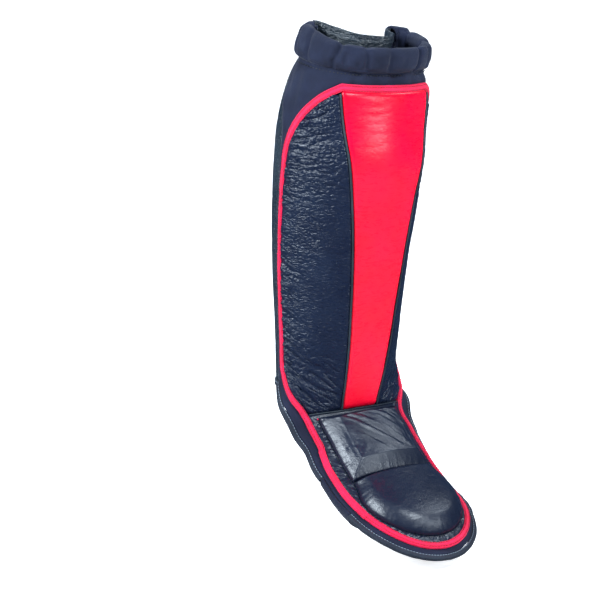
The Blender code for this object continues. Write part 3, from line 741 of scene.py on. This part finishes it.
def roundProfile(width, height, sides, squareness, lift=0.0):
    turn = 2 * math.pi * (np.arange(sides) + 0.5) / sides
    x = signedPower(np.cos(turn), squareness) * width / 2
    y = signedPower(np.sin(turn), squareness) * height / 2
    return np.stack([x, y + lift], axis=-1)


pipingSettings = {"diameter": 0.0021, "rise": -0.0012, "ankleDiameter": 0.0012}


def makePiping(side, name, node):
    s = pipingSettings
    along = np.linspace(shinSettings["start"], shinLength - topInset - 0.002, 300)
    rise = seamHeight(along) + s["rise"] + 0.00012 * softNoise(along / 0.009, 0, 31)
    path = pathOnShell(along, side * (cutEdge("red", along) + 0.0015), rise)
    profile = roundProfile(s["diameter"], s["diameter"], 14, 1)
    dress(sweep(name, path, profile, pipingLeather), "dark_piping", node)


def makeAnkleSeam():
    width = pipingSettings["ankleDiameter"]
    across = np.linspace(-1, 1, 160) * (padEdge(0, shieldInset(0)) - 0.001)
    path = pathOnShell(0.0003 + 0.00025 * softNoise(across / 0.012, 0, 33), across, 0.0036)
    dress(sweep("ankleSeamPiping", path, roundProfile(width, width, 10, 1), pipingLeather), "dark_piping")


def lengthAlong(points):
    # how far each point is along its line
    return np.concatenate([[0], np.cumsum(np.linalg.norm(np.diff(points, axis=0), axis=1))])


def evenPath(along, across, pitch, closed=False):
    # the same line in steps of even length
    points = onForm(along, across)
    if closed:
        along, across = np.append(along, along[0]), np.append(across, across[0])
        points = np.concatenate([points, points[:1]])
    run = lengthAlong(points)
    at = np.linspace(0, run[-1], max(8, int(run[-1] / pitch)), endpoint=not closed)
    return np.interp(at, run, along), np.interp(at, run, across)


def toeSteps(low, count, first=0.0):
    # even turns round the toe, from its tip to where its sides run straight
    return toeRoundStart - (toeRoundStart - low) * np.cos(np.linspace(first, math.pi / 2, count))


def toeRows(low, high, count, pitch):
    # a column of places from near the toe's tip, round it and on up to a height
    return np.concatenate([toeSteps(low, count, 0.03), spread(toeRoundStart, high, pitch)[1:, 0]])[:, None]


def shieldOutline(inset, pitch):
    # the closed line round the shield, set in from its edge, starting at the toe
    top = shinLength - inset
    low = -(footLength - inset)
    along = np.concatenate([toeSteps(low, 70), np.linspace(toeRoundStart, top, 400)[1:]])
    across = padEdge(along, inset)
    across[0] = 0
    corner = across[-1]
    across = np.concatenate([across, np.linspace(corner, -corner, 31)[1:-1], -across[::-1][:-1]])
    along = np.concatenate([along, np.full(29, top), along[::-1][:-1]])
    return evenPath(along, across, pitch, closed=True)


tapeSettings = {
    "height": 0.0040,
    "pitch": 0.0014,
    "pucker": 0.00022,
    "channel": 0.00095,
    "joint": -0.034,
    "jointStep": 0.0010,
}


def makeRedTape():
    s = tapeSettings
    along, across = shieldOutline(pattern["redTape"] / 2, s["pitch"])
    path = pathOnShell(along, across)
    width, height = pattern["redTape"] / 2, s["height"]
    top = np.linspace(-1, 1, 15)
    crown = height * (1 - 0.16 * top**4) - s["channel"] * (hump(top, -0.62, 0.16) + hump(top, 0.62, 0.16))
    crown[[0, -1]] = height * 0.72
    profile = np.concatenate([
        [[-width * 0.98, 0.0004], [-width, height * 0.4]],
        np.stack([top * width * 0.97, crown + 0.0004], axis=-1),
        [[width, height * 0.4], [width * 0.98, 0.0004]],
    ])[::-1]
    ring = np.repeat(profile[None], len(along), axis=0)
    narrow = tapeShare(along)[:, None]
    ring[..., 0] = ring[..., 0] * narrow + (1 - narrow) * width
    station = np.arange(len(along)) * s["pitch"]
    upper = ring[..., 1] > height * 0.6
    pucker = softNoise(station / 0.0030, 0, 5) + 0.6 * softNoise(station / 0.011, 0, 7)
    ring[..., 1] += s["pucker"] * pucker[:, None] * upper
    ring[..., 0] *= (1 + 0.04 * softNoise(station / 0.010, 3.5, 6))[:, None]
    lapped = (across < -0.02) & (along < s["joint"]) & (along > -0.12)
    ring[lapped, :, 1] += s["jointStep"] * upper[lapped]
    ring[lapped, :, 0] += s["jointStep"]
    mark = hump(across, 0.030, 0.0015) * (along < -0.16)
    ring[..., 1] -= 0.0007 * mark[:, None] * upper
    dress(sweep("redTapeLoop", path, ring, redTape, closed=True), "red_tape", "red_binding")


# Foot shield

footSettings = {
    "leather": 0.002,
    "blockLength": 0.076,
    "blockHalfWidth": 0.0475,
    "blockHeight": 0.0128,
    "padRim": 0.0022,
    "sideBevel": 0.0165,
    "topBevel": 0.0085,
    "endBevel": 0.0160,
    "toeLength": 0.0830,
    "toeWiden": 0.0055,
    "toeHeight": 0.0120,
    "toeBevel": 0.019,
    "rimRound": 0.0024,
    "pitch": 0.0008,
    "gather": 0.0013,
    "gatherPitch": 0.0034,
    "smallGather": 0.00025,
    "foldWidth": 0.0021,
    "blockFine": 0.00022,
    "blockSag": 0.0003,
    "blockPucker": 0.0006,
    "toeFine": 0.00022,
    "toePucker": 0.0008,
    "swell": 0.0012,
}
blockTop = -0.003
blockEnd = blockTop - footSettings["blockLength"]
toePadStart = blockEnd - 0.0022
toeArc = footSettings["toeLength"] * 0.68  # the length of its round end
toePadTurn = toePadStart - footSettings["toeLength"] + toeArc
padBase = 0.0011 + footSettings["leather"]
blockFolds = (  # start and end as (across, along), depth; the long creases over the block's top
    ((-0.032, -0.010), (0.012, -0.052), 0.0010),
    ((-0.026, -0.007), (-0.002, -0.026), 0.0006),
    ((-0.006, -0.005), (0.022, -0.024), 0.0006),
    ((0.012, -0.005), (0.030, -0.018), 0.0005),
    ((-0.014, -0.028), (0.016, -0.058), 0.0005),
    ((-0.024, -0.032), (-0.002, -0.058), 0.0004),
)


def toePadHalf(along):
    # the pad is as wide as the block at their seam and wider below it
    share = ramp(toePadStart - along, 0.026)
    return footSettings["blockHalfWidth"] + footSettings["toeWiden"] * share * share * (3 - 2 * share)


def toePadEdge(along, inset=0.0):
    return (toePadHalf(along) - inset) * np.sqrt(1 - ramp(toePadTurn - along, toeArc - inset) ** 2)


def makeInstepPanel():
    s = footSettings
    low, high = toeInset - tapeLap - footLength, -0.0006
    along = toeRows(low, high, 70, s["pitch"])
    edge = padEdge(along, np.where(along > toeRoundStart, shieldInset(along), toeInset) - tapeLap)
    across = np.linspace(-1, 1, 150) * edge
    reach = np.abs(across)
    inPad = np.where(along > toePadStart, s["blockHalfWidth"], toePadEdge(along))
    between = ramp(reach - inPad, np.maximum(edge - inPad, 0.002))
    turn = np.arctan2(toeRoundStart - along, reach + 1e-6)
    run = np.where(along > toeRoundStart, along, toeRoundStart - turn * 0.055)
    swell = np.sin(math.pi * between) ** 0.6
    lean = run - 0.5 * (reach - inPad) + 0.0016 * softNoise(run / 0.012, between * 1.5, 11)
    folds = np.abs(softNoise(lean / s["gatherPitch"], between * 0.9 + 3 * np.sign(across), 12)) ** 0.7
    small = softNoise(lean / (s["gatherPitch"] * 0.45), between * 2 + 3 * np.sign(across), 13)
    puff = 0.0007 + s["gather"] * (folds - 0.4) + s["smallGather"] * small
    height = s["leather"] + 0.0006 + swell * puff
    points = onShell(along, across, height)
    piece = gridMesh("instepLeather", points, footLeather, thick=0.0012)
    dress(piece, "black_leather", "instep_panel")


def softLeast(shares, sharp=38.0):
    # the least of several shares, with its corners a little rounded
    return -np.log(sum(np.exp(-sharp * share) for share in shares)) / sharp


def blockShare(along, across):
    s = footSettings
    sideShare = np.clip((s["blockHalfWidth"] - np.abs(across)) / s["sideBevel"], 0, 1.2)
    topShare = np.clip((blockTop - along) / s["topBevel"], 0, 1.2)
    endShare = np.clip((along - blockEnd) / s["endBevel"], 0, 1.2)
    flat = np.ones_like(sideShare + topShare + endShare)
    return np.clip(softLeast((sideShare, topShare, endShare, flat)) + 0.026, 0, 1)


def blockHeight(along, across):
    s = footSettings
    return padBase + s["padRim"] + (s["blockHeight"] - s["padRim"]) * blockShare(along, across)


def makeBlock():
    s = footSettings
    half = s["blockHalfWidth"]
    coarse = np.linspace(blockEnd, blockTop, 22)[:, None]
    across = np.linspace(-half, half, 27) + 0 * coarse
    swell = swellPad("blockSwell", coarse, across, blockHeight, padBase, s["swell"])
    along = spread(blockEnd, blockTop, s["pitch"])
    across = np.linspace(-half, half, 124) + 0 * along
    left, up, down = half - np.abs(across), blockTop - along, along - blockEnd
    rim = np.minimum(np.minimum(left, up), down)
    height = blockHeight(along, across) - s["padRim"] * edgeDrop(rim, s["rimRound"])
    shift = np.array([0.0024, 0.0018])  # the shaded side of a fold
    for start, end, depth in blockFolds:
        height += depth * foldLine(across, along, start, end, s["foldWidth"])
        height -= 0.7 * depth * foldLine(across, along, start + shift, end + shift, s["foldWidth"])
    onTop = ramp(blockShare(along, across) - 0.7, 0.25) * (0.2 + 0.8 * hump(along, blockTop - 0.018, 0.022))
    height += s["blockFine"] * softNoise((across + along) / 0.0034, (along - across) / 0.015, 60) * onTop
    height += s["blockSag"] * softNoise(across / 0.014, along / 0.011, 61)
    lengthwise = np.where(left < np.minimum(up, down), along, across)
    pucker = np.abs(softNoise(lengthwise / 0.0030, rim / 0.02, 14)) - 0.35
    height += s["blockPucker"] * pucker * np.exp(-rim / 0.0070)
    piece = padMesh("instepBlockLeather", along, across, height, swell, footLeather)
    dress(piece, "black_leather", "instep_block")


def toePadInset(along, across):
    # how far inside the pad's edge a place is, up to the bevel's width
    low, high = np.zeros_like(across), np.full_like(across, footSettings["toeBevel"])
    for _ in range(22):
        middle = (low + high) / 2
        inside = (toePadEdge(along, middle) > np.abs(across)) & (along < toePadStart - middle * 0.25)
        low, high = np.where(inside, middle, low), np.where(inside, high, middle)
    return low


def toePadHeight(along, across):
    s = footSettings
    share = ramp(toePadInset(along, across), s["toeBevel"])
    return padBase + s["padRim"] + (s["toeHeight"] - s["padRim"]) * np.sin(math.pi / 2 * share) ** 0.9


def toePadAlong(count):
    # most rows lie on the round end, closer together toward its tip
    u = np.linspace(0, 1, count)[:, None]
    turned = toePadTurn - toeArc * np.cos(math.pi / 2 * np.clip(u / 0.7, 0.015, 1))
    return np.where(u < 0.7, turned, toePadTurn + (toePadStart - toePadTurn) * (u - 0.7) / 0.3)


def makeToePad():
    s = footSettings
    coarse = toePadAlong(24)
    across = np.linspace(-1, 1, 25) * toePadEdge(coarse)
    swell = swellPad("toeSwell", coarse, across, toePadHeight, padBase, s["swell"])
    along = toePadAlong(110)
    across = np.linspace(-1, 1, 124) * toePadEdge(along)
    inset = toePadInset(along, across)
    height = toePadHeight(along, across) - s["padRim"] * edgeDrop(inset, s["rimRound"])
    rimward = np.clip(1.15 - inset / s["toeBevel"], 0.12, 1)
    height += s["toeFine"] * softNoise(across / 0.0045, along / 0.0050, 70) * rimward
    turn = np.arctan2(toePadStart - 0.024 - along, across)
    pucker = np.abs(softNoise(turn * 16, inset / 0.02, 15)) - 0.35
    height += s["toePucker"] * pucker * np.exp(-inset / 0.006)
    piece = padMesh("toePadLeather", along, across, height, swell, footLeather)
    dress(piece, "black_leather", "toe_pad")


# Sleeve, cuff, back panel and strap


sleeveSettings = {"fold": 0.0023, "tuck": 0.0022, "pitch": 0.0022}


def makeSleeve():
    s = sleeveSettings
    low, high = -(footLength + pattern["flange"]), cuffStart + 0.002
    along = toeRows(low, high, 34, s["pitch"])
    across = np.linspace(-1, 1, 110) * clothEdge(along)
    beside = ramp(np.abs(across) - padEdge(along), 0.010) * (along > 0.21)
    loose = np.minimum(ramp(along - shinLength + 0.004, 0.006) + beside, 1)
    folds = softNoise(across / 0.016 + along / 0.060, along / 0.034 - across / 0.08, 15)
    folds = folds + 0.5 * softNoise(across / 0.0075, along / 0.020, 16)
    tucked = s["tuck"] * hump(along, cuffStart - 0.001, 0.0050)  # drawn in under the roll
    points = onShell(along, across, s["fold"] * folds * loose - tucked)
    piece = gridMesh("neopreneSleeve", points, neoprene, thick=pattern["wall"])
    dress(piece, "neoprene", "neoprene_shell")


cuffSettings = {
    "height": 0.0235,
    "thickness": 0.0130,
    "wall": 0.0022,
    "stations": 320,
    "swell": 0.0030,
    "grow": 0.05,
    "endGrowth": 0.26,
    "endRise": 0.0030,
    "overhang": 0.28,
}
cuffFolds = (  # place round the hem, depth and half width in shares of its thickness
    (-0.90, 0.34, 0.42),
    (-0.72, 0.24, 0.36),
    (-0.47, 0.52, 0.34),
    (-0.27, 0.26, 0.36),
    (-0.02, 0.16, 0.40),
    (0.22, 0.72, 0.26),
    (0.36, 0.22, 0.34),
    (0.55, 0.44, 0.34),
    (0.78, 0.38, 0.40),
)


def cuffRings(stations, sides, fine):
    s = cuffSettings
    end = clothEdge(cuffStart) - 0.002
    place = np.linspace(-1, 1, stations)[:, None]
    turn = 2 * math.pi * (np.arange(sides) + 0.5) / sides
    rise = signedPower(np.sin(turn), 0.82) * s["height"] / 2 + 0 * place
    lean = rise / s["height"]  # a fold leans as it climbs
    pinch = 0 * rise
    for at, depth, halfWidth in cuffFolds:
        centre = (at + 0.03 * math.sin(at * 40)) * end + 0.006 * lean * math.sin(at * 9)
        width = halfWidth * s["thickness"] * (0.45 + 0.35 * (lean + 0.5))
        pinch += depth * hump(place * end, centre, width)
    out = signedPower(np.cos(turn), 0.85) * s["thickness"] / 2
    out = out * (1 - pinch * (0.55 + 0.45 * np.clip(lean * 2, -1, 1)))
    out += fine * 0.0007 * softNoise(place * end / 0.012 + lean, lean * 2.2 + 4 * np.cos(turn), 17)
    out *= 1 + s["overhang"] * np.clip(-2.2 * lean, 0, 1)
    lifted = np.where(rise > 0, rise * (1 - 0.30 * pinch), rise)
    toEnds = ramp(np.abs(place) - 0.35, 0.5) ** 1.5
    crown = 1 + 0.10 * softNoise(place * end / 0.022, 0, 19) + s["endGrowth"] * toEnds
    height = out * (1 + 0.8 * s["endGrowth"] * toEnds) - s["thickness"] * (0.24 + 0.22 * pinch)
    up = cuffStart + s["height"] / 2 + s["endRise"] * toEnds * (place < 0) + lifted * crown
    return onShell(up, place * end, height), lifted


def makeCuff():
    s = cuffSettings
    coarse, rise = cuffRings(64, 14, 0)
    pinned = rise < -s["height"] * 0.30
    pinned[[0, -1]] = True
    swell = simulateSwell("cuffSwell", coarse, pinned, s["swell"], s["grow"])
    points, _ = cuffRings(s["stations"], 44, 1)
    points += resample(swell, *points.shape[:2], closed=True)
    piece = gridMesh("cuffRollHem", points, neoprene, closed=True, thick=s["wall"], flip=True)
    dress(piece, "neoprene", "cuff_roll")


backSettings = {
    "flatWidth": 0.20,
    "leather": 0.0018,
    "gather": 0.0020,
    "crinkle": 0.0009,
    "hem": 0.0065,
    "tilt": 0.0035,
}


def makeBackPanel():
    s = backSettings
    top = pattern["backTop"]
    below = spread(heelSeam, cuffStart, 0.0022)
    seam = np.concatenate([below, spread(cuffStart, top, 0.0009)[1:]])
    level = (seam - heelSeam) / (top - heelSeam)
    share = np.linspace(-1, 1, 120)
    along = seam + (backHem(np.abs(share)) - heelSeam) * (1 - level)
    along -= s["tilt"] * share * ramp(seam - cuffStart, top - cuffStart)
    fromBack = share * (halfGirth(along) - clothEdge(along) - 0.0008)
    across = np.sign(fromBack + 1e-9) * (halfGirth(along) - np.abs(fromBack))
    gathered = ramp(along - 0.30, 0.06)
    nearRight = 0.35 + 0.65 * ramp(share + 0.1, 0.6)
    gather = softNoise(fromBack / 0.006, along / 0.06, 18)
    gather += 0.5 * softNoise(fromBack / 0.0034, along / 0.03, 19)
    skin = wrinkles(along / 0.020 + fromBack / 0.05, fromBack / 0.006 + along / 0.03, 80)
    edge = ramp(1 - np.abs(share), 0.05)
    height = -0.0010 + s["gather"] * gather * gathered * nearRight * edge
    height += s["crinkle"] * skin * (0.35 + 0.5 * gathered) * edge
    toHem = top - seam
    height += 0.0005 * (toHem < s["hem"]) - 0.0005 * hump(toHem, s["hem"], 0.0008)
    points = onShell(along, across, height)
    # the back panel's leather is lighter than the other black leather: a painted sheen
    piece = gridMesh("backLeather", points, paintedSheenBackLeather, thick=s["leather"], flip=True)
    dress(piece, "black_leather", "back_panel")


edgeSettings = {"width": 0.0055, "height": 0.0048, "pitch": 0.0018}


def heelPath(pitch):
    low = np.linspace(-pattern["strapRear"], heelSeam, 60)
    share = np.linspace(1, -1, 120)[1:-1]
    hem = backHem(np.abs(share))
    half = halfGirth(hem)
    hemAcross = half - share * (half - clothEdge(hem))
    farSide = 2 * halfGirth(low[::-1]) - clothEdge(low[::-1])
    along = np.concatenate([low, hem, low[::-1]])
    return evenPath(along, np.concatenate([clothEdge(low), hemAcross, farSide]), pitch)


def toePath(pitch):
    tip = -(footLength + pattern["flange"])
    along = np.append(toeSteps(tip, 60), -(pattern["strapRear"] + pattern["strapWidth"]))
    across = clothEdge(along)
    across[0] = 0
    along = np.concatenate([along[::-1], along[1:]])
    return evenPath(along, np.concatenate([-across[::-1], across[1:]]), pitch)


def makeEdgeTapes():
    s = edgeSettings
    profile = roundProfile(s["width"], s["height"], 18, 0.6, -pattern["wall"] / 2)
    profile[:, 0] += s["width"] / 2 + 0.0003
    for name, node, route in (
        ("heelEdgeTape", "heel_binding", heelPath(s["pitch"])),
        ("toeEdgeTape", "toe_binding", toePath(s["pitch"])),
    ):
        station = np.arange(len(route[0])) * s["pitch"]
        ring = np.repeat(profile[None], len(station), axis=0)
        ring[..., 1] *= (1 + 0.06 * softNoise(station / 0.006, 0, 51))[:, None]
        ring[..., 0] += 0.0003 * softNoise(station / 0.016, 0, 52)[:, None]
        dress(sweep(name, pathOnShell(*route), ring, edgeTape), "edge_tape", node)


strapSettings = {"thickness": 0.0025, "sag": 0.0008, "inset": 0.0005}


def makeStrap():
    # a half loop that hangs under the foot from the sleeve's two edges
    s = strapSettings
    low = -(pattern["strapRear"] + s["inset"])
    rows = low - np.linspace(0, pattern["strapWidth"] - 2 * s["inset"], 40)[:, None]
    turn = np.linspace(0, math.pi, 130)
    corner, ridge = onForm(rows, clothEdge(rows) + s["inset"]), onForm(rows, 0 * rows)
    down = -outward(rows, 0 * rows)
    depth = np.sum((corner - ridge) * down, axis=-1) + pattern["strapDrop"] * np.sin(turn)
    points = ridge + down * depth[..., None]
    points[..., 0] += np.cos(turn) * corner[..., 0]
    points[..., 2] += s["sag"] * softNoise(turn * 7, rows / 0.02, 55) * np.sin(turn)
    piece = gridMesh("stirrupStrap", points, neoprene, thick=s["thickness"])
    dress(piece, "neoprene", "foot_strap")


# Thread


stitchKinds = {  # pitch, length and thickness of a stitch, thread, slot
    "tape": (0.0030, 0.0024, 0.0009, redThread, "red_tape"),
    "edge": (0.0030, 0.0024, 0.0007, paleThread, "edge_tape"),
    "cuff": (0.0036, 0.0022, 0.0012, darkThread, "neoprene"),
    "pad": (0.0030, 0.0021, 0.0007, darkThread, "black_leather"),
    "seam": (0.0030, 0.0021, 0.0008, darkThread, "black_leather"),
    "tack": (0.0016, 0.0016, 0.0013, redTape, "red_tape"),
}


def sewStitches(name, path, kind):
    # one mesh of small rounded stitches laid along a line, each sunk at its ends
    pitch, length, thick, material, slot = stitchKinds[kind]
    points, normals = path
    run = lengthAlong(points)
    at = np.arange(pitch / 2, run[-1], pitch)

    def readAt(values, places):
        return np.stack([np.interp(places, run, values[:, i]) for i in range(3)], axis=-1)[:, None, None]

    centre, up = readAt(points, at), readAt(normals, at)
    ahead = unit(readAt(points, at + 0.0005) - readAt(points, at - 0.0005))
    side = unit(np.cross(ahead, up))
    level = np.array([-1, -0.7, 0, 0.7, 1])[:, None, None]
    turn = math.pi / 3 * np.arange(6)[:, None]
    size = thick / 2 * np.sqrt(np.maximum(0.10, 1 - level**2))
    vertices = centre + ahead * level * length / 2 + side * np.cos(turn) * size
    vertices = vertices + up * (0.8 * np.sin(turn) * size - 0.45 * thick * level**2)
    one = np.array(gridFaces(vertices[0], closed=True))
    faces = one + 30 * np.arange(len(at))[:, None, None]
    dress(addMesh(name, vertices, faces.reshape(-1, 4).tolist(), material), slot)


def besideLine(path, shift, lift=0.0):
    # the same line moved sideways on the shell, and up from it
    points, normals = path
    sides = unit(np.cross(np.gradient(points, axis=0), normals))
    return points + sides * shift + normals * lift, normals


def sewAll():
    along, across = shieldOutline(pattern["redTape"] / 2, 0.002)
    along, across = np.append(along, along[0]), np.append(across, across[0])
    share = tapeShare(along)[:, None]
    line = pathOnShell(along, across, tapeSettings["height"] + 0.0002)
    for name, place in (("redTapeStitchesIn", 0.31), ("redTapeStitchesOut", -0.31)):
        sewStitches(name, besideLine(line, pattern["redTape"] * ((1 - share) / 2 - place * share)), "tape")
    lift = (edgeSettings["height"] - pattern["wall"]) / 2
    for name, route in (("heelTapeStitches", heelPath(0.002)), ("toeTapeStitches", toePath(0.002))):
        sewStitches(name, besideLine(pathOnShell(*route), 0.0013, lift), "edge")
    end = clothEdge(cuffStart) - 0.018
    path = pathOnShell(cuffStart - 0.0026, np.linspace(-end, end, 300), -0.0011)
    sewStitches("cuffStitches", path, "cuff")
    lift, gap = padBase + 0.0004, 0.0012  # the thread lies just outside the pads
    for side, name in ((-1, "padStitchesLeft"), (1, "padStitchesRight")):
        along = np.linspace(blockTop, toePadTurn, 120)
        sewStitches(name, pathOnShell(along, side * (toePadHalf(along) + gap), lift), "pad")
    turn = np.linspace(-math.pi / 2, math.pi / 2, 120)
    along = toePadTurn - (toeArc + gap) * np.cos(turn)
    sewStitches("toePadStitches", pathOnShell(along, (toePadHalf(along) + gap) * np.sin(turn), lift), "pad")
    across = np.linspace(-1, 1, 100) * footSettings["blockHalfWidth"]
    sewStitches("padSeamStitches", pathOnShell((blockEnd + toePadStart) / 2, across, padBase), "seam")
    along, across = np.array([-0.0034, -0.0052]), np.array([-0.0487, -0.0490])
    sewStitches("pinkTackStitch", pathOnShell(along, across, 0.0042), "tack")


makeSleeve()
makeBackPanel()
makeCuff()
makeCentrePanel()
makeSidePanel(1, "blackSidePanelRight", "side_panel_right")
makeSidePanel(-1, "blackSidePanelLeft", "side_panel_left")
makePiping(1, "pipingCordRight", "piping_right")
makePiping(-1, "pipingCordLeft", "piping_left")
makeAnkleSeam()
makeInstepPanel()
makeBlock()
makeToePad()
makeRedTape()
makeEdgeTapes()
makeStrap()
sewAll()

# Studio

studioSettings = {
    "azimuth": -38.6,
    "elevation": 14.0,
    "roll": 4.2,
    "distance": 1.6,
    "target": (0, -0.040, 0.100),
    "targetPixel": (360.6, 309.9),
    "frame": 600,
    "lens": 96.7,
    "sensor": 36,
    "floor": -0.117,
    "floorDepth": 2.2,
    "floorBend": 1.6,
    "floorGlow": 0.72,
    "roomRadius": 5.2,
    "sky": 0.16,
    "skyColour": (0.30, 0.52, 1, 1),
    "lampColour": (0.82, 0.92, 1),
}
softboxes = (  # name, azimuth, elevation, distance, width, height, watts
    ("keyLeft", -92, 30, 1.7, 0.35, 0.60, 46),
    ("frontHigh", 0, 46, 1.8, 0.45, 0.32, 30),
    ("frontRight", 24, 18, 1.8, 0.30, 0.22, 11),
    ("plateauGlow", 72, 47, 1.8, 0.30, 0.30, 9),
    ("overhead", 180, 58, 2.2, 0.8, 0.6, 26),
)


def viewAxes(azimuth, elevation):
    a, e = math.radians(azimuth), math.radians(elevation)
    back = Vector((math.sin(a) * math.cos(e), -math.cos(a) * math.cos(e), math.sin(e)))
    right = Vector((math.cos(a), math.sin(a), 0))
    return right, back.cross(right), back


def placeCamera():
    s = studioSettings
    right, up, back = viewAxes(s["azimuth"], s["elevation"])
    c, n = math.cos(math.radians(s["roll"])), math.sin(math.radians(s["roll"]))
    axes = Matrix((right * c + up * n, up * c - right * n, back)).transposed()
    pixels = s["lens"] / s["sensor"] * s["frame"]
    x, y = (at - s["frame"] / 2 for at in s["targetPixel"])
    toTarget = Vector((x / pixels, -y / pixels, -1)).normalized()
    turn = toTarget.rotation_difference(Vector((0, 0, -1))).to_matrix()
    data = bpy.data.cameras.new("photoCamera")
    data.lens = s["lens"]
    data.sensor_width = s["sensor"]
    data.clip_end = 30
    place = Vector(s["target"]) + back * s["distance"]
    bpy.context.scene.camera = addObject("photoCamera", data, axes @ turn, place)


def addSoftbox(name, azimuth, elevation, distance, width, height, watts):
    right, up, back = viewAxes(azimuth, elevation)
    data = bpy.data.lights.new(name, "AREA")
    data.shape = "RECTANGLE"
    data.size, data.size_y = width, height
    data.energy = watts
    data.color = studioSettings["lampColour"]
    place = Vector(studioSettings["target"]) + back * distance
    addObject(name, data, Matrix((right, up, back)).transposed(), place)


def buildStudio():
    s = studioSettings
    deep, radius = s["floorDepth"], s["floorBend"]
    bend = np.linspace(0.1, math.pi / 2, 14)
    depth = [np.linspace(-6, deep, 20), deep + radius * np.sin(bend), np.full(6, deep + radius)]
    rise = [np.zeros(20), radius * (1 - np.cos(bend)), np.linspace(radius + 0.6, 6, 6)]
    depth, rise = np.concatenate(depth)[:, None], np.concatenate(rise)[:, None]
    turn = math.radians(s["azimuth"])
    wide = np.linspace(-7, 7, 12)
    x = wide * math.cos(turn) - depth * math.sin(turn)
    y = wide * math.sin(turn) + depth * math.cos(turn)
    white, tree, shader, _ = startMaterial("studioWhite")
    setInputs(tree, shader, {
        "Base Color": (0.9, 0.9, 0.9, 1),
        "Roughness": 0.9,
        "Emission Color": (1, 1, 1, 1),
        "Emission Strength": s["floorGlow"],
    })
    floor = gridMesh("studioFloor", np.stack([x, y, s["floor"] + rise + 0 * x], axis=-1), white)
    floor.visible_glossy = False  # the leather mirrors the softboxes and the dark room, not the paper
    # a white room seen by the camera alone, for the views from other sides
    rise = np.sin(np.linspace(0, math.pi / 2, 16))[:, None]
    turn = np.linspace(0, 2 * math.pi, 48, endpoint=False)
    reach = s["roomRadius"] * np.sqrt(1 - (0.999 * rise) ** 2)
    x, y, z = reach * np.cos(turn), reach * np.sin(turn), s["floor"] + s["roomRadius"] * rise + 0 * turn
    room = gridMesh("studioRoom", np.stack([x, y, z], axis=-1), white, closed=True)
    room.visible_glossy = False
    room.visible_diffuse = False
    room.visible_shadow = False
    world = bpy.data.worlds.new("studioWorld")
    world.use_nodes = True
    sky = world.node_tree.nodes["Background"]
    setInputs(world.node_tree, sky, {"Color": s["skyColour"], "Strength": s["sky"]})
    bpy.context.scene.world = world
    for box in softboxes:
        addSoftbox(*box)
    bpy.context.scene.view_settings.view_transform = "Standard"


placeCamera()
buildStudio()
print("studio lit")
